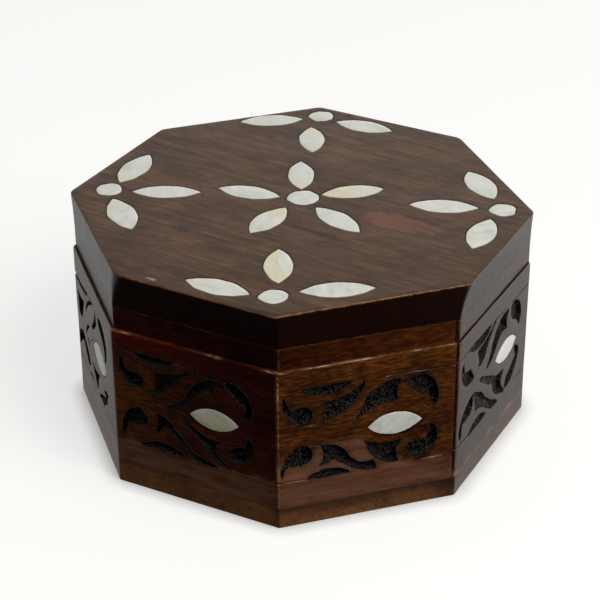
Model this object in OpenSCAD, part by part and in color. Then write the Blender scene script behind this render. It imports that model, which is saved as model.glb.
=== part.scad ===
// Eight-sided hardwood box with a hinged lid, carved sides and shell inlay.
// +Z is up, the box stands on z = 0, -Y is the front and the hinges are at +Y.
// All sizes are in millimetres.

/* [Box] */
// Width across two opposite flat sides
box_w = 140; // [116:1:180]
// Height of the closed box
box_h = 75; // [62:1:100]
// Thickness of the side walls
wall_t = 8; // [6.5:0.1:12]

/* [Base] */
// Thickness of the base board where its edge shows
base_t = 7; // [5:0.1:10]
// Height of the step that locates the base board between the walls
base_step_t = 2; // [1:0.1:4]

/* [Lid] */
// Thickness of the solid lid board
lid_board_t = 11.5; // [8:0.1:16]
// Height of the rim strips under the lid board
rim_h = 7.3; // [5:0.1:12]
// Thickness of the rim strips
rim_t = 8; // [6.5:0.1:12]
// How far the sides of the lid stand in from the walls
lid_reveal = 0.6; // [0:0.1:1.5]
// Angle at which the open lid comes to rest on its bevelled back edge
lid_stop_angle = 105; // [90:1:120]

/* [Carving] */
// Depth of the carved leaves
carve_depth = 1.6; // [0.8:0.1:2.4]
// Height of the carved field between its two border lines
field_h = 32.4; // [26:0.1:40]
// How far the middle of the field lies above the middle of the wall
field_rise = 1.1; // [-1.5:0.1:2]
// Depth of the incised border lines
line_depth = 0.35; // [0.2:0.05:0.8]

/* [Inlay] */
// Thickness of the shell
shell_t = 1.2; // [0.8:0.1:1.8]
// Diameter of the lid's centre disc
centre_disc_d = 10.3; // [8:0.1:13]
// Diameter of the discs near the lid's corners
corner_disc_d = 9.1; // [7:0.1:11]
// Distance from a corner of the lid to the middle of its disc
corner_inset = 8.9; // [7.5:0.1:11]
// Free wood between a disc and the tip of each petal around it
petal_gap = 3; // [1.5:0.1:4]
// Free wood between the facing tips of a centre petal and a corner petal
petal_space = 6.3; // [4:0.1:9]
// Width of the lid's petals
petal_w = 9.2; // [7:0.1:11]
// Direction of the first petal of the centre flower
centre_turn = 46; // [40:1:50]
// Angle between neighbouring petals of a corner flower
corner_spread = 70; // [66:1:74]
// Length of the petal in each side
side_petal_l = 17.5; // [14:0.1:21]
// Width of the petal in each side
side_petal_w = 7.8; // [6:0.1:9.4]
// Distance of the side petal from the middle of its side
side_petal_x = 8.5; // [7.5:0.1:10]

/* [Hinges] */
// Length of each hinge along its pin
hinge_l = 14; // [11:0.1:17]
// Distance between the middles of the two hinges
hinge_spacing = 26; // [21:1:28]
// Radius of the hinge knuckles
knuckle_r = 1.3; // [1.1:0.05:1.5]
// Radius of the hinge pins
pin_r = 0.6; // [0.4:0.05:0.7]
// Thickness of the hinge leaves
leaf_t = 0.7; // [0.5:0.05:0.9]
// Wood left between the edge of a leaf and the inside of the box
leaf_land = 1.2; // [0.4:0.1:2]

/* [Fixings] */
// Diameter of the hinge screws' shanks
screw_d = 1.5; // [1.2:0.05:1.8]
// Diameter of the hinge screws' heads
screw_head_d = 2.6; // [2.2:0.05:3]
// Length of the hinge screws
screw_l = 5; // [4:0.1:6]
// Distance between the two screws of a leaf
screw_spacing = 8.6; // [7:0.1:9.4]
// Diameter of the brads in the base
brad_d = 1.2; // [0.9:0.05:1.6]
// Diameter of the brads' heads
brad_head_d = 2.4; // [2:0.1:3.2]
// Length of the brads
brad_l = 16; // [12:0.1:20]
// Distance between the two brads under each wall
brad_spacing = 30; // [20:1:36]

/* [Lining] */
// Thickness of the lining pad
pad_t = 1.5; // [1:0.1:4]

/* [Clearances] */
// Gap between the walls and the closed lid
lid_gap = 0.2; // [0.1:0.05:0.5]
// Gap around the base step, the shell pieces and the hinge leaves
fit = 0.1; // [0.05:0.01:0.2]
// Running clearance between a pin and the knuckles that turn on it
pin_clear = 0.05; // [0.02:0.01:0.1]
// Gap between neighbouring knuckles
knuckle_gap = 0.2; // [0.1:0.05:0.3]
// Gap between the knuckles and the wood around them
knuckle_clear = 0.3; // [0.2:0.05:0.5]
// Gap between the lining pad and the walls
pad_gap = 0.4; // [0.2:0.1:1]
// Angle kept between the two bevels when the lid is fully open
stop_clear = 1; // [0.5:0.1:2]

/* [Hidden] */
SIDES = ["front", "front_right", "right", "back_right", "back", "back_left", "left", "front_left"];
CORNERS = ["front", "right", "back", "left"];
HANDS = ["left", "right"];
CENTRE_PETALS = 5;
CORNER_PETALS = 3;

$fn = 48;
EPS = 0.01;
BEYOND = 5;           // how far a cut runs past the solid that it cuts
ARC_STEPS = 8;        // straight steps along each arc of a carved leaf
PETAL_STEPS = 14;     // straight steps along each side of a petal

DARK_WOOD = [0.29, 0.17, 0.10];
RIM_WOOD = [0.34, 0.20, 0.11];
BASE_WOOD = [0.42, 0.28, 0.18];
LID_WOOD = [0.34, 0.28, 0.23];
SHELL = [0.88, 0.87, 0.82];
BRASS = [0.78, 0.62, 0.30];
STEEL = [0.55, 0.55, 0.56];
VELVET = [0.42, 0.06, 0.09];

TURN = 45;                                      // from one side of the octagon to the next
SLOPE = tan(TURN / 2);
side_l = box_w * SLOPE;                         // outside length of one wall
body_h = box_h - lid_board_t - rim_h - lid_gap; // top of the walls
wall_h = body_h - base_t;
rim_z = body_h + lid_gap;
board_z = rim_z + rim_h;
lid_w = box_w - 2 * lid_reveal;
field_z = base_t + wall_h / 2 + field_rise;
floor_z = base_t + base_step_t;

// The wall's length and the field's height that the leaves were drawn for. They stretch with both.
DRAWN_SIDE_L = 58;
DRAWN_FIELD_H = 32.4;
carve_across = side_l / DRAWN_SIDE_L;
carve_up = field_h / DRAWN_FIELD_H;

lid_corner_r = lid_w / 2 / cos(TURN / 2);
flower_r = lid_corner_r - corner_inset;
petal_l = (flower_r - (centre_disc_d + corner_disc_d) / 2 - 2 * petal_gap - petal_space) / 2;

axis_y = box_w / 2 - knuckle_r;                 // the knuckles lie flush with the back
axis_z = body_h + lid_gap / 2;
leaf_w = wall_t - knuckle_r - leaf_land;        // from the pin's axis to the leaf's far edge
leaf_start = knuckle_r + knuckle_clear;         // where a leaf clears the other leaf's knuckles
leaf_end = pin_r + (knuckle_r - pin_r) / 4;      // where a leaf ends inside its own knuckles' walls
knuckle_l = (hinge_l - 2 * knuckle_gap) / 3;
screw_y = axis_y - (leaf_start + leaf_w) / 2;
bevel = (lid_stop_angle + stop_clear) / 2;
brad_y = (box_w - wall_t) / 2;
BRAD_HEAD_T = 0.7;
SCREW_POINT = 1.2;
SLOT_W = 0.4;
SLOT_DEPTH = 0.25;

// Outlines of the leaves in the upper half of the field, measured from the field's middle.
// Each corner is [x, z, bow]: bow is how far the edge to the next corner swells outwards.
CRESCENT = [[-22, 16.2, 3.4], [-6, 16.2, 0]];
LEFT_COMMA = [[-26.9, 13.5, 2.9], [-20.1, 2.7, 0.2], [-17.8, 3, 1], [-21.5, 9.2, -2.2]];
LEFT_HORN = [[-1.4, 15.2, -0.8], [-13.1, 9.6, 0.2], [-15, 10.2, -2], [-16.4, 2.8, 2.5]];
RIGHT_HORN = [[-4.7, 0.9, -1.6], [9.5, 6.8, -1], [9.8, 13.8, 3.3]];
RIGHT_COMMA = [[10.7, 13.1, 0.3], [16.8, 7.9, -0.4], [19.1, 7.7, 0], [21, 2.3, 5.6]];
LEAVES = [CRESCENT, LEFT_COMMA, LEFT_HORN, RIGHT_HORN, RIGHT_COMMA];

// Points of the arc from p to q, without q, that swells to the right of the way by bow.
function arc_points(p, q, bow, steps) =
    let (half = norm(q - p) / 2, along = (q - p) / (2 * half), rise = abs(bow))
    rise < EPS ? [p] :
    let (
        r = (half * half + rise * rise) / (2 * rise),
        swing = atan2(half, r - rise),
        out = [along.y, -along.x] * sign(bow)
    )
    [for (i = [0 : steps - 1]) let (a = swing * (2 * i / steps - 1))
        (p + q) / 2 + along * r * sin(a) + out * (r * cos(a) - r + rise)];

function outline(corners, steps) = [
    for (i = [0 : len(corners) - 1])
        let (p = corners[i], q = corners[(i + 1) % len(corners)])
        each arc_points([p.x, p.y], [q.x, q.y], p.z, steps)
];

// The corners of a leaf, stretched to the wall's length and the field's height.
function stretched(corners) = [
    for (c = corners) [c.x * carve_across, c.y * carve_up, c.z * min(carve_across, carve_up)]
];

// Length of a petal whose two arcs are moved outwards by gap.
function grown_length(l, w, gap) =
    let (r = (l * l + w * w) / (4 * w))
    2 * sqrt(pow(r + gap, 2) - pow(r - w / 2, 2));

function corner_angle(k) = -1.5 * TURN + 90 * k;
function petal_reach(disc_d) = disc_d / 2 + petal_gap + petal_l / 2;

module petal(l, w, gap = 0) {
    long = grown_length(l, w, gap);
    wide = w + 2 * gap;
    polygon(outline([[-long / 2, 0, wide / 2], [long / 2, 0, wide / 2]], PETAL_STEPS));
}

module disc(d, gap = 0) {
    circle(d = d + 2 * gap);
}

module octagon(across) {
    rotate(TURN / 2) circle(d = across / cos(TURN / 2), $fn = 8);
}

// One mitred side of an octagonal frame, in the place of the front one.
module mitred_strip(across, thick, tall) {
    outer = across / 2;
    inner = outer - thick;
    linear_extrude(tall)
        polygon([
            [-outer * SLOPE, -outer], [outer * SLOPE, -outer],
            [inner * SLOPE, -inner], [-inner * SLOPE, -inner]
        ]);
}

// Sinks a drawing, seen from outside with its zero at the field's middle, into the front wall.
module sunk_in_front(depth, over = 0) {
    translate([0, depth - box_w / 2, field_z])
        rotate([90, 0, 0])
            linear_extrude(depth + over)
                children();
}

module carved_leaves() {
    for (half = [0, 1])
        mirror([0, half, 0])
            for (leaf = LEAVES)
                polygon(outline(stretched(leaf), ARC_STEPS));
}

module border_lines() {
    for (z = [-field_h / 2, field_h / 2])
        translate([0, -box_w / 2, field_z + z])
            rotate([45, 0, 0])
                cube([side_l + BEYOND, line_depth * sqrt(2), line_depth * sqrt(2)], center = true);
}

module side_petal_shape(gap = 0) {
    translate([side_petal_x, 0]) petal(side_petal_l, side_petal_w, gap);
}

// Places of the flowers' pieces on the lid.
module on_lid() {
    translate([0, lid_reveal, 0]) children();
}

module at_corner(k) {
    rotate(corner_angle(k)) translate([flower_r, 0]) children();
}

module centre_petal_shape(k, gap = 0) {
    rotate(centre_turn + 360 / CENTRE_PETALS * (k - 1))
        translate([petal_reach(centre_disc_d), 0])
            petal(petal_l, petal_w, gap);
}

module corner_petal_shape(c, k, gap = 0) {
    at_corner(c)
        rotate(180 + corner_spread * (k - 2))
            translate([petal_reach(corner_disc_d), 0])
                petal(petal_l, petal_w, gap);
}

module all_lid_shell_shapes(gap) {
    disc(centre_disc_d, gap);
    for (k = [1 : CENTRE_PETALS]) centre_petal_shape(k, gap);
    for (c = [0 : len(CORNERS) - 1]) {
        at_corner(c) disc(corner_disc_d, gap);
        for (k = [1 : CORNER_PETALS]) corner_petal_shape(c, k, gap);
    }
}

module inlaid_in_lid() {
    color(SHELL)
        translate([0, 0, box_h - shell_t])
            on_lid() linear_extrude(shell_t) children();
}

// Places of the hinges' pieces. Each hinge is drawn about x = 0 and its pin's axis.
module at_hinge(hand) {
    translate([(hand == "left" ? -1 : 1) * hinge_spacing / 2, 0, 0]) children();
}

module along_pin(r, l) {
    translate([0, axis_y, axis_z])
        rotate([0, 90, 0])
            cylinder(r = r, h = l, center = true);
}

module at_screws() {
    for (x = [-screw_spacing / 2, screw_spacing / 2])
        translate([x, screw_y, 0]) children();
}

// Where the leaf of one half lies: up = 1 in the lid, up = -1 in the walls.
function leaf_face_z(up) = up > 0 ? rim_z : body_h;
function leaf_low_z(up) = up > 0 ? rim_z : body_h - leaf_t;
function knuckle_places(up) = up > 0 ? [0] : [-1, 1];

module at_knuckles(up) {
    for (place = knuckle_places(up))
        translate([place * (knuckle_l + knuckle_gap), 0, 0]) children();
}

module leaf(up) {
    notch_l = knuckle_l + 2 * knuckle_gap;
    difference() {
        union() {
            difference() {
                translate([-hinge_l / 2, axis_y - leaf_w, leaf_low_z(up)])
                    cube([hinge_l, leaf_w - leaf_end, leaf_t]);
                at_knuckles(-up)
                    translate([-notch_l / 2, axis_y - leaf_start, axis_z - BEYOND])
                        cube([notch_l, leaf_start + BEYOND, 2 * BEYOND]);
            }
            at_knuckles(up) along_pin(knuckle_r, knuckle_l);
        }
        along_pin(up > 0 ? pin_r + pin_clear : pin_r, hinge_l + BEYOND);
        at_screws() screw_body(up, 0);
    }
}

// Turns what is drawn pointing down from z = 0 so that it points into the wood of its half.
module driven_in(up) {
    translate([0, 0, leaf_face_z(up)])
        rotate([up > 0 ? 180 : 0, 0, 0])
            children();
}

// Countersunk head, shank and point, as a screw has and as the hole that it makes.
module screw_body(up, point) {
    shank_z = (screw_d - screw_head_d) / 2;
    driven_in(up)
        rotate_extrude()
            polygon([
                [0, 0], [screw_head_d / 2, 0], [screw_d / 2, shank_z],
                [screw_d / 2, point - screw_l], [0, -screw_l]
            ]);
}

module screw(up) {
    difference() {
        screw_body(up, SCREW_POINT);
        driven_in(up)
            translate([0, 0, EPS - SLOT_DEPTH / 2])
                cube([screw_head_d + BEYOND, SLOT_W, SLOT_DEPTH + 2 * EPS], center = true);
    }
}

// What the hinges take out of the wood: the leaf's mortise, room for the knuckles, screw holes.
module hinge_cuts(up) {
    for (hand = HANDS)
        at_hinge(hand) {
            along_pin(knuckle_r + knuckle_clear, hinge_l + 2 * fit);
            translate([-hinge_l / 2 - fit, axis_y - leaf_w - fit, leaf_low_z(up) - (up > 0 ? BEYOND : 0)])
                cube([hinge_l + 2 * fit, leaf_w + fit, leaf_t + BEYOND]);
            at_screws() screw_body(up, SCREW_POINT);
        }
}

// The bevel behind the pins' axis on which the open lid comes to rest.
module back_bevel(up) {
    run = knuckle_r + BEYOND;
    rise = run * tan(bevel);
    translate([-box_w / 2, axis_y, axis_z])
        rotate([90, 0, 90])
            linear_extrude(box_w)
                polygon([[0, 0], [run, up * rise], [run, -up * BEYOND], [0, -up * BEYOND]]);
}

module brad(shank_r, head_r) {
    cylinder(r = head_r, h = BRAD_HEAD_T);
    cylinder(r = shank_r, h = brad_l);
}

module at_brads() {
    for (i = [0 : len(SIDES) - 1])
        rotate(TURN * i)
            for (x = [-brad_spacing / 2, brad_spacing / 2])
                translate([x, -brad_y, 0]) children();
}

module all_brads() {
    at_brads() brad(brad_d / 2, brad_head_d / 2);
}

// ---- The pieces of the base ----

module base_board() {
    color(BASE_WOOD)
        difference() {
            union() {
                linear_extrude(base_t) octagon(box_w);
                linear_extrude(floor_z) octagon(box_w - 2 * wall_t - 2 * fit);
            }
            all_brads();
        }
}

module base_brads() {
    color(STEEL) all_brads();
}

module base_pad() {
    color(VELVET)
        translate([0, 0, floor_z])
            linear_extrude(pad_t)
                octagon(box_w - 2 * wall_t - 2 * pad_gap);
}

module wall(i) {
    color(DARK_WOOD)
        difference() {
            rotate(TURN * i)
                difference() {
                    translate([0, 0, base_t]) mitred_strip(box_w, wall_t, wall_h);
                    sunk_in_front(carve_depth, BEYOND) carved_leaves();
                    sunk_in_front(shell_t, BEYOND) side_petal_shape(fit);
                    border_lines();
                    for (x = [-brad_spacing / 2, brad_spacing / 2])
                        translate([x, -brad_y, 0]) brad(brad_d / 2, brad_head_d / 2);
                }
            if (SIDES[i] == "back") hinge_cuts(-1);
            back_bevel(-1);
        }
}

module side_petal(i) {
    color(SHELL)
        rotate(TURN * i)
            sunk_in_front(shell_t) side_petal_shape();
}

module wall_leaf(hand) {
    color(BRASS) at_hinge(hand) leaf(-1);
}

module hinge_pin(hand) {
    color(STEEL) at_hinge(hand) along_pin(pin_r, hinge_l);
}

module wall_leaf_screws() {
    color(BRASS)
        for (hand = HANDS)
            at_hinge(hand) at_screws() screw(-1);
}

// ---- The pieces of the lid ----

module lid_board() {
    color(LID_WOOD)
        difference() {
            on_lid()
                translate([0, 0, board_z])
                    linear_extrude(lid_board_t) octagon(lid_w);
            on_lid()
                translate([0, 0, box_h - shell_t])
                    linear_extrude(shell_t + BEYOND) all_lid_shell_shapes(fit);
        }
}

module rim(i) {
    color(RIM_WOOD)
        difference() {
            on_lid()
                translate([0, 0, rim_z])
                    rotate(TURN * i) mitred_strip(lid_w, rim_t, rim_h);
            if (SIDES[i] == "back") hinge_cuts(1);
            back_bevel(1);
        }
}

module lid_leaf(hand) {
    color(BRASS) at_hinge(hand) leaf(1);
}

module lid_leaf_screws() {
    color(BRASS)
        for (hand = HANDS)
            at_hinge(hand) at_screws() screw(1);
}

// ---- Every node, drawn alone or all together ----

base_board();
base_brads();
base_pad();
lid_board();
wall_leaf_screws();
lid_leaf_screws();
for (i = [0 : len(SIDES) - 1]) {
    wall(i);
    side_petal(i);
    rim(i);
}
inlaid_in_lid() disc(centre_disc_d);  // centre_disc
for (k = [1 : CENTRE_PETALS])
    inlaid_in_lid() centre_petal_shape(k);
for (c = [0 : len(CORNERS) - 1]) {
    inlaid_in_lid() at_corner(c) disc(corner_disc_d);
    for (k = [1 : CORNER_PETALS])
        inlaid_in_lid() corner_petal_shape(c, k);
}
for (hand = HANDS) {
    wall_leaf(hand);
    lid_leaf(hand);
    hinge_pin(hand);
}
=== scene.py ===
"""Inlaid eight-sided wooden box: the detailed pieces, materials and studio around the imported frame."""

import math
import random

import bmesh
import bpy
import numpy as np
from mathutils import Matrix, Vector
from mathutils.geometry import delaunay_2d_cdt


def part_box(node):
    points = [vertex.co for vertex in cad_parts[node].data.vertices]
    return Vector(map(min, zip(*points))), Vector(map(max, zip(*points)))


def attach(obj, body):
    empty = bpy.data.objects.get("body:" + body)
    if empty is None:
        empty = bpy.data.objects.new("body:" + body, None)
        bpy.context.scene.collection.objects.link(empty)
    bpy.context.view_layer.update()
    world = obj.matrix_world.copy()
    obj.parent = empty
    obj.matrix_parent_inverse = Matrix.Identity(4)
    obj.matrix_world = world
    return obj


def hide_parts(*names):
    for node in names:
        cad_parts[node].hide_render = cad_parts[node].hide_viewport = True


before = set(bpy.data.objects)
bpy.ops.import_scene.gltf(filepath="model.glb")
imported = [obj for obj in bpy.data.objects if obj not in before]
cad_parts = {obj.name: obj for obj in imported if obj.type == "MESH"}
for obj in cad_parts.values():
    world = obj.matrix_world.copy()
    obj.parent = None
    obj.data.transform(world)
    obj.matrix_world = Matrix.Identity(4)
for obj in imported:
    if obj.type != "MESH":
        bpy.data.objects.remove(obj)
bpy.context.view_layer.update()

# ---------------------------------------------------------------- sizes, in millimetres
MM = 0.001


def span(node):
    """Lowest and highest corner of a CAD node, in millimetres."""
    lo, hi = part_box(node)
    return np.array(lo) / MM, np.array(hi) / MM


base_lo, base_hi = span("base_board")
wall_lo, wall_hi = span("wall_front")
rim_lo, rim_hi = span("rim_front")
lid_lo, lid_hi = span("lid_board")
pad_lo, pad_hi = span("base_pad")
pin_lo, pin_hi = span("hinge_pin_right")

BOX_W = base_hi[0] - base_lo[0]
WALL_T = wall_hi[1] - wall_lo[1]
LID_W = lid_hi[0] - lid_lo[0]
LID_Y = (lid_lo[1] + lid_hi[1]) / 2
RIM_T = rim_hi[1] - rim_lo[1]
SHELL_T = lid_hi[2] - span("centre_disc")[0][2]
FIELD_Z = (span("side_petal_front")[0][2] + span("side_petal_front")[1][2]) / 2
PIN_Y, PIN_Z = (pin_lo[1] + pin_hi[1]) / 2, (pin_lo[2] + pin_hi[2]) / 2

SIDES = ["front", "front_right", "right", "back_right", "back", "back_left", "left", "front_left"]
TURN = math.radians(45)
SLOPE = math.tan(TURN / 2)

CARVE_DEPTH = 1.5
BEVEL_ANGLE = 53  # degrees, half the lid's swing and a little more
WALL_LAP = 1.1  # how far each wall wraps around its left corner before the glued joint
RIM_LAP = 1.5

# Four carved sides, drawn from the middle of the field. Each leaf is a list of [x, z, bow of the
# edge to the next corner], and each groove is [start, end, bow].
FRONT_DRAWING = {
    "leaves": [
        [(-21.0, 17.2, 2.6), (-7.5, 17.2, 0)],
        [(-25.7, 14.7, 1.2), (-24.7, 6.2, 0.7), (-19.4, 5.5, 0.4), (-18.5, 7.2, 0.9),
         (-21.0, 9.9, -0.2),
         (-24.6, 10.2, -0.3)],
        [(1.4, 16.4, -0.7), (-14.1, 11.2, -1.2), (-14.8, 4.2, 0.6), (-6.6, 9.8, -1.3)],
        [(-10.3, 0.6, 0.4), (-2.0, 4.5, -1.5), (6.3, 10.2, -0.8), (8.8, 14.8, 1.6), (-1.2, 8.6, -1.3)],
        [(11.0, 14.6, 0.7), (15.8, 9.8, -0.1), (17.9, 7.8, -0.6), (16.8, 4.4, 0.9), (19.6, 6.5, 1.9),
         (14.2, 15.0, 0.3)],
        [(-26.2, -14.0, -0.4), (-24.8, -9.6, 0), (-18.7, -8.1, 0.6), (-17.8, -5.8, 0.9),
         (-21.0, -3.4, 1.0),
         (-25.4, -7.4, 0.5)],
        [(-13.6, -3.1, -0.5), (-14.1, -10.4, 0), (-12.0, -7.2, -0.6), (-7.0, -9.5, 0),
         (0.0, -15.6, 0.5),
         (7.4, -16.2, -0.3), (-1.4, -13.8, 0), (-8.0, -6.7, 0.9)],
        [(-4.2, -0.6, 0.3), (0.9, -7.6, 0), (6.5, -12.8, 0.3), (11.7, -15.3, -0.3), (6.6, -11.0, -0.7),
         (8.4, -7.1, -1.9)],
        [(18.6, -2.9, -0.3), (17.4, -6.9, 0.2), (14.0, -7.8, 0.8), (12.6, -12.2, 0.6),
         (17.2, -11.6, 2.0)],
        [(-19.2, -16.0, 0), (-4.7, -16.0, 2.4)],
    ],
    "grooves": [
        [(-30, 16.9), (-20.5, 17.3), 0], [(-8, 17.2), (3, 16.6), 0], [(-30, -16.0), (-18.5, -16.1), 0],
        [(11, -15.9), (21.5, -16.0), 0], [(-20.5, 5.3), (-13.8, 5.0), 1.2],
        [(-22.0, -3.6), (-13.4, -3.4), -1.0],
    ],
    "faded": [(-28, -15.5), (28, -14.5)],
    "petal": (6.9, 0.6, 17.0, 7.4),
}
FRONT_RIGHT_DRAWING = {
    "leaves": [
        [(-21.3, 16.2, 2.8), (-6.1, 16.2, 0)],
        [(-26.9, 14.2, 1.2), (-24.3, 5.5, 0.9), (-19.4, 4.4, 0.3), (-18.5, 7.0, 1.0),
         (-21.5, 9.8, -0.3),
         (-24.9, 9.2, -0.4)],
        [(-1.4, 15.6, -1.5), (-15.0, 10.5, -1.5), (-15.2, 4.0, 2.6)],
        [(-5.4, 0.8, -2.4), (9.5, 7.0, -1.2), (10.0, 14.2, 1.7), (-1.0, 8.8, -0.5)],
        [(11.2, 13.4, 0.1), (17.0, 8.3, -0.2), (19.5, 7.8, 0), (21.0, 2.7, 2.6), (17.7, 14.4, 0.6)],
        [(-27.8, -13.7, -0.4), (-26.0, -10.1, 0.1), (-20.6, -10.3, 0.5), (-18.5, -7.6, 0.9),
         (-21.2, -4.1, 0.75),
         (-25.2, -6.2, 0.7)],
        [(-15.0, -4.9, -1.0), (-15.4, -11.6, 0.3), (-11.5, -9.6, 0.1), (-5.6, -14.2, 0.7),
         (2.2, -16.2, 0),
         (1.4, -13.6, -1.4), (-6.5, -10.3, 1.6)],
        [(-5.6, -2.2, -0.5), (-0.5, -7.2, 2.4), (9.5, -15.1, -1.4), (10.7, -7.6, -2.5)],
        [(20.3, -3.6, -0.4), (18.8, -9.0, 0.2), (14.0, -9.3, 0.8), (12.6, -12.8, 0.7),
         (17.7, -14.3, 3.1)],
        [(-19.7, -16.1, 0), (-6.3, -16.1, 2.4)],
    ],
    "grooves": [
        [(-27.5, 16.0), (-20.5, 16.4), 0], [(4, 16.3), (30, 16.0), 0], [(-30, -16.0), (-19, -16.1), 0],
        [(17, -16.3), (24.5, -16.0), 0], [(-22.5, 4.3), (-15.0, 4.6), 1.2],
        [(-21.5, -4.3), (-14.5, -5.0), -0.5],
        [(17.6, 3.2), (19.0, 3.5), 0],
    ],
    "faded": [(-28, -8.5), (-15, -4), (-4, -2.5), (4, -11), (12, -15), (28, -16.5)],
    "petal": (8.4, -1.2, 17.5, 7.8),
}
RIGHT_DRAWING = {
    "leaves": [
        [(-20.6, 16.4, 2.3), (-3.8, 16.4, 0)],
        [(-25.5, 13.3, 1.6), (-23.5, 5.8, 0.8), (-17.3, 4.6, 0.5), (-20.5, 8.8, -0.3),
         (-24.4, 9.6, -0.2)],
        [(0.9, 16.1, -0.9), (-14.0, 11.9, -0.9), (-12.4, 6.6, 0.9), (-7.2, 9.6, -0.8)],
        [(-5.6, 2.0, 0.4), (1.0, 5.6, -0.7), (6.5, 9.4, 0), (9.9, 8.8, -1.0), (11.0, 14.6, 2.2),
         (-1.6, 8.0, -0.4)],
        [(14.0, 14.4, 0.6), (15.2, 9.9, -0.1), (20.0, 7.0, 0), (21.3, 4.8, 2.6), (17.0, 14.9, 0.2)],
        [(-25.8, -13.2, -0.3), (-25.2, -8.6, -0.2), (-19.0, -7.8, 0.5), (-17.2, -4.8, 0),
         (-17.4, -2.2, 1.4),
         (-26.6, -9.5, 0.5)],
        [(-16.4, -2.2, -0.5), (-13.8, -9.2, -0.2), (-8.9, -10.2, 0), (-1.0, -15.4, 0.3),
         (4.6, -16.3, -0.4),
         (-6.1, -9.5, 1.0)],
        [(-11.0, 0.6, 0.4), (-0.6, -6.2, 0), (1.8, -11.0, 0.5), (10.2, -15.2, -0.6), (6.8, -10.4, -0.5),
         (8.4, -6.9, -0.7), (0.0, -4.8, 0.2)],
        [(18.8, -3.2, 0), (20.0, -6.9, -0.2), (12.8, -11.2, 0.5), (11.4, -14.4, 0.5),
         (15.8, -14.0, 0.6),
         (21.6, -7.0, 1.0)],
        [(-18.7, -15.6, 0), (-5.6, -15.6, 2.2)],
    ],
    "grooves": [
        [(-30, 16.6), (-20, 16.5), 0], [(-4, 16.4), (8, 16.3), 0], [(13, 16.2), (30, 16.0), 0],
        [(-30, -15.3), (-18, -15.5), 0], [(18, -15.8), (26, -15.8), 0],
        [(-19.7, 4.0), (-11.9, 6.8), 0.7],
    ],
    "faded": [(-28, -24), (28, -24)],
    "petal": (10.6, 0.2, 17.8, 7.4),
}
FRONT_LEFT_DRAWING = {
    "leaves": [
        [(-29.5, 14.2, -0.3), (-29.5, 12.8, 0), (-20.0, 13.0, 0.3), (-10.0, 14.4, 0),
         (-8.4, 16.2, -0.6)],
        [(-26.0, 8.6, -0.6), (-24.8, 1.4, 0.8), (-20.0, 1.2, 0.3), (-16.0, 9.0, -0.6)],
        [(-13.2, 7.0, -0.9), (-0.4, 16.2, 2.0)],
        [(4.0, 16.2, -0.6), (-3.6, 6.2, 0.6), (1.4, 8.6, 0.2), (4.2, 11.6, -0.2)],
        [(-14.6, -2.4, -0.5), (-8.0, 3.6, 1.6)],
        [(-12.4, -2.6, 0.5), (-9.6, -4.2, 0.6)],
        [(8.0, 15.6, 0.8), (9.2, 12.8, -0.4), (15.0, 9.0, -0.9), (15.6, 3.6, 1.2), (19.0, 10.0, 1.0),
         (14.6, 15.4, 0.9)],
        [(-27.4, -13.4, -0.4), (-24.6, -10.6, -1.4), (-18.0, -9.4, 0.3), (-13.4, -13.4, 0.4),
         (-10.4, -12.2, 0.9),
         (-16.4, -6.4, 1.4), (-24.6, -6.4, 1.3)],
        [(-6.6, -8.6, -0.3), (0.0, -15.4, 0.5), (1.8, -11.6, -0.3), (4.8, -7.8, -0.8)],
        [(3.0, -16.1, -0.4), (9.4, -12.8, -0.3), (14.0, -11.2, 0.3), (11.6, -9.2, 0.5),
         (14.6, -7.6, 0.3),
         (18.0, -7.6, 0.6), (15.6, -12.4, 0.5), (9.4, -16.4, 0.6)],
        [(-11.6, -16.2, 0), (-6.0, -15.9, 1.2)],
    ],
    "grooves": [
        [(-30, -16.3), (-12, -16.2), 0], [(12, -16.3), (30, -16.0), 0],
        [(-6.4, -1.0), (1.0, 3.6), -0.5],
        [(-8, 16.0), (2, 16.4), 0],
    ],
    "faded": [(-28, -18), (0, -19), (28, -20)],
    "petal": (7.4, 0.2, 19.4, 9.0),
}
DRAWINGS = {
    "front": FRONT_DRAWING, "front_right": FRONT_RIGHT_DRAWING, "right": RIGHT_DRAWING,
    "back_right": FRONT_DRAWING, "back": FRONT_RIGHT_DRAWING, "back_left": RIGHT_DRAWING,
    "left": FRONT_RIGHT_DRAWING, "front_left": FRONT_LEFT_DRAWING,
}
SEEN = ("front_left", "front", "front_right", "right")  # sides drawn from the photo, the rest repeat them
BOLDER = {"front_left": 0.2, "front": 0.42, "front_right": 0.3, "right": 0.62}  # how far the cuts overrun

rng = random.Random(41)


# ---------------------------------------------------------------- outlines
def bowed(p, q, bow, step):
    """Points of the arc from p to q, without q, that swells by bow to the right of the way."""
    p, q = np.array(p, float), np.array(q, float)
    half = np.linalg.norm(q - p) / 2
    along = (q - p) / (2 * half)
    rise = abs(bow)
    count = max(2, round(2 * half / step))
    if rise < 0.01:
        return [p + (q - p) * i / count for i in range(count)]
    r = (half * half + rise * rise) / (2 * rise)
    swing = math.atan2(half, r - rise)
    out = np.array([along[1], -along[0]]) * math.copysign(1, bow)
    count = max(2, round(2 * r * swing / step))
    angles = [swing * (2 * i / count - 1) for i in range(count)]
    middle = (p + q) / 2
    return [middle + along * r * math.sin(a) + out * (r * math.cos(a) - r + rise) for a in angles]


def outline(corners, step=0.4):
    """The closed outline through corners of [x, y, bow to the next corner], always anticlockwise."""
    points = []
    for p, q in zip(corners, corners[1:] + corners[:1]):
        points += bowed(p[:2], q[:2], p[2], step)
    points = np.array(points)
    ahead = np.roll(points, -1, 0)
    turning = (points[:, 0] * ahead[:, 1] - points[:, 1] * ahead[:, 0]).sum()
    return points if turning > 0 else points[::-1]


def petal(length, width, step=0.5):
    return outline([(-length / 2, 0, width / 2), (length / 2, 0, width / 2)], step)


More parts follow.
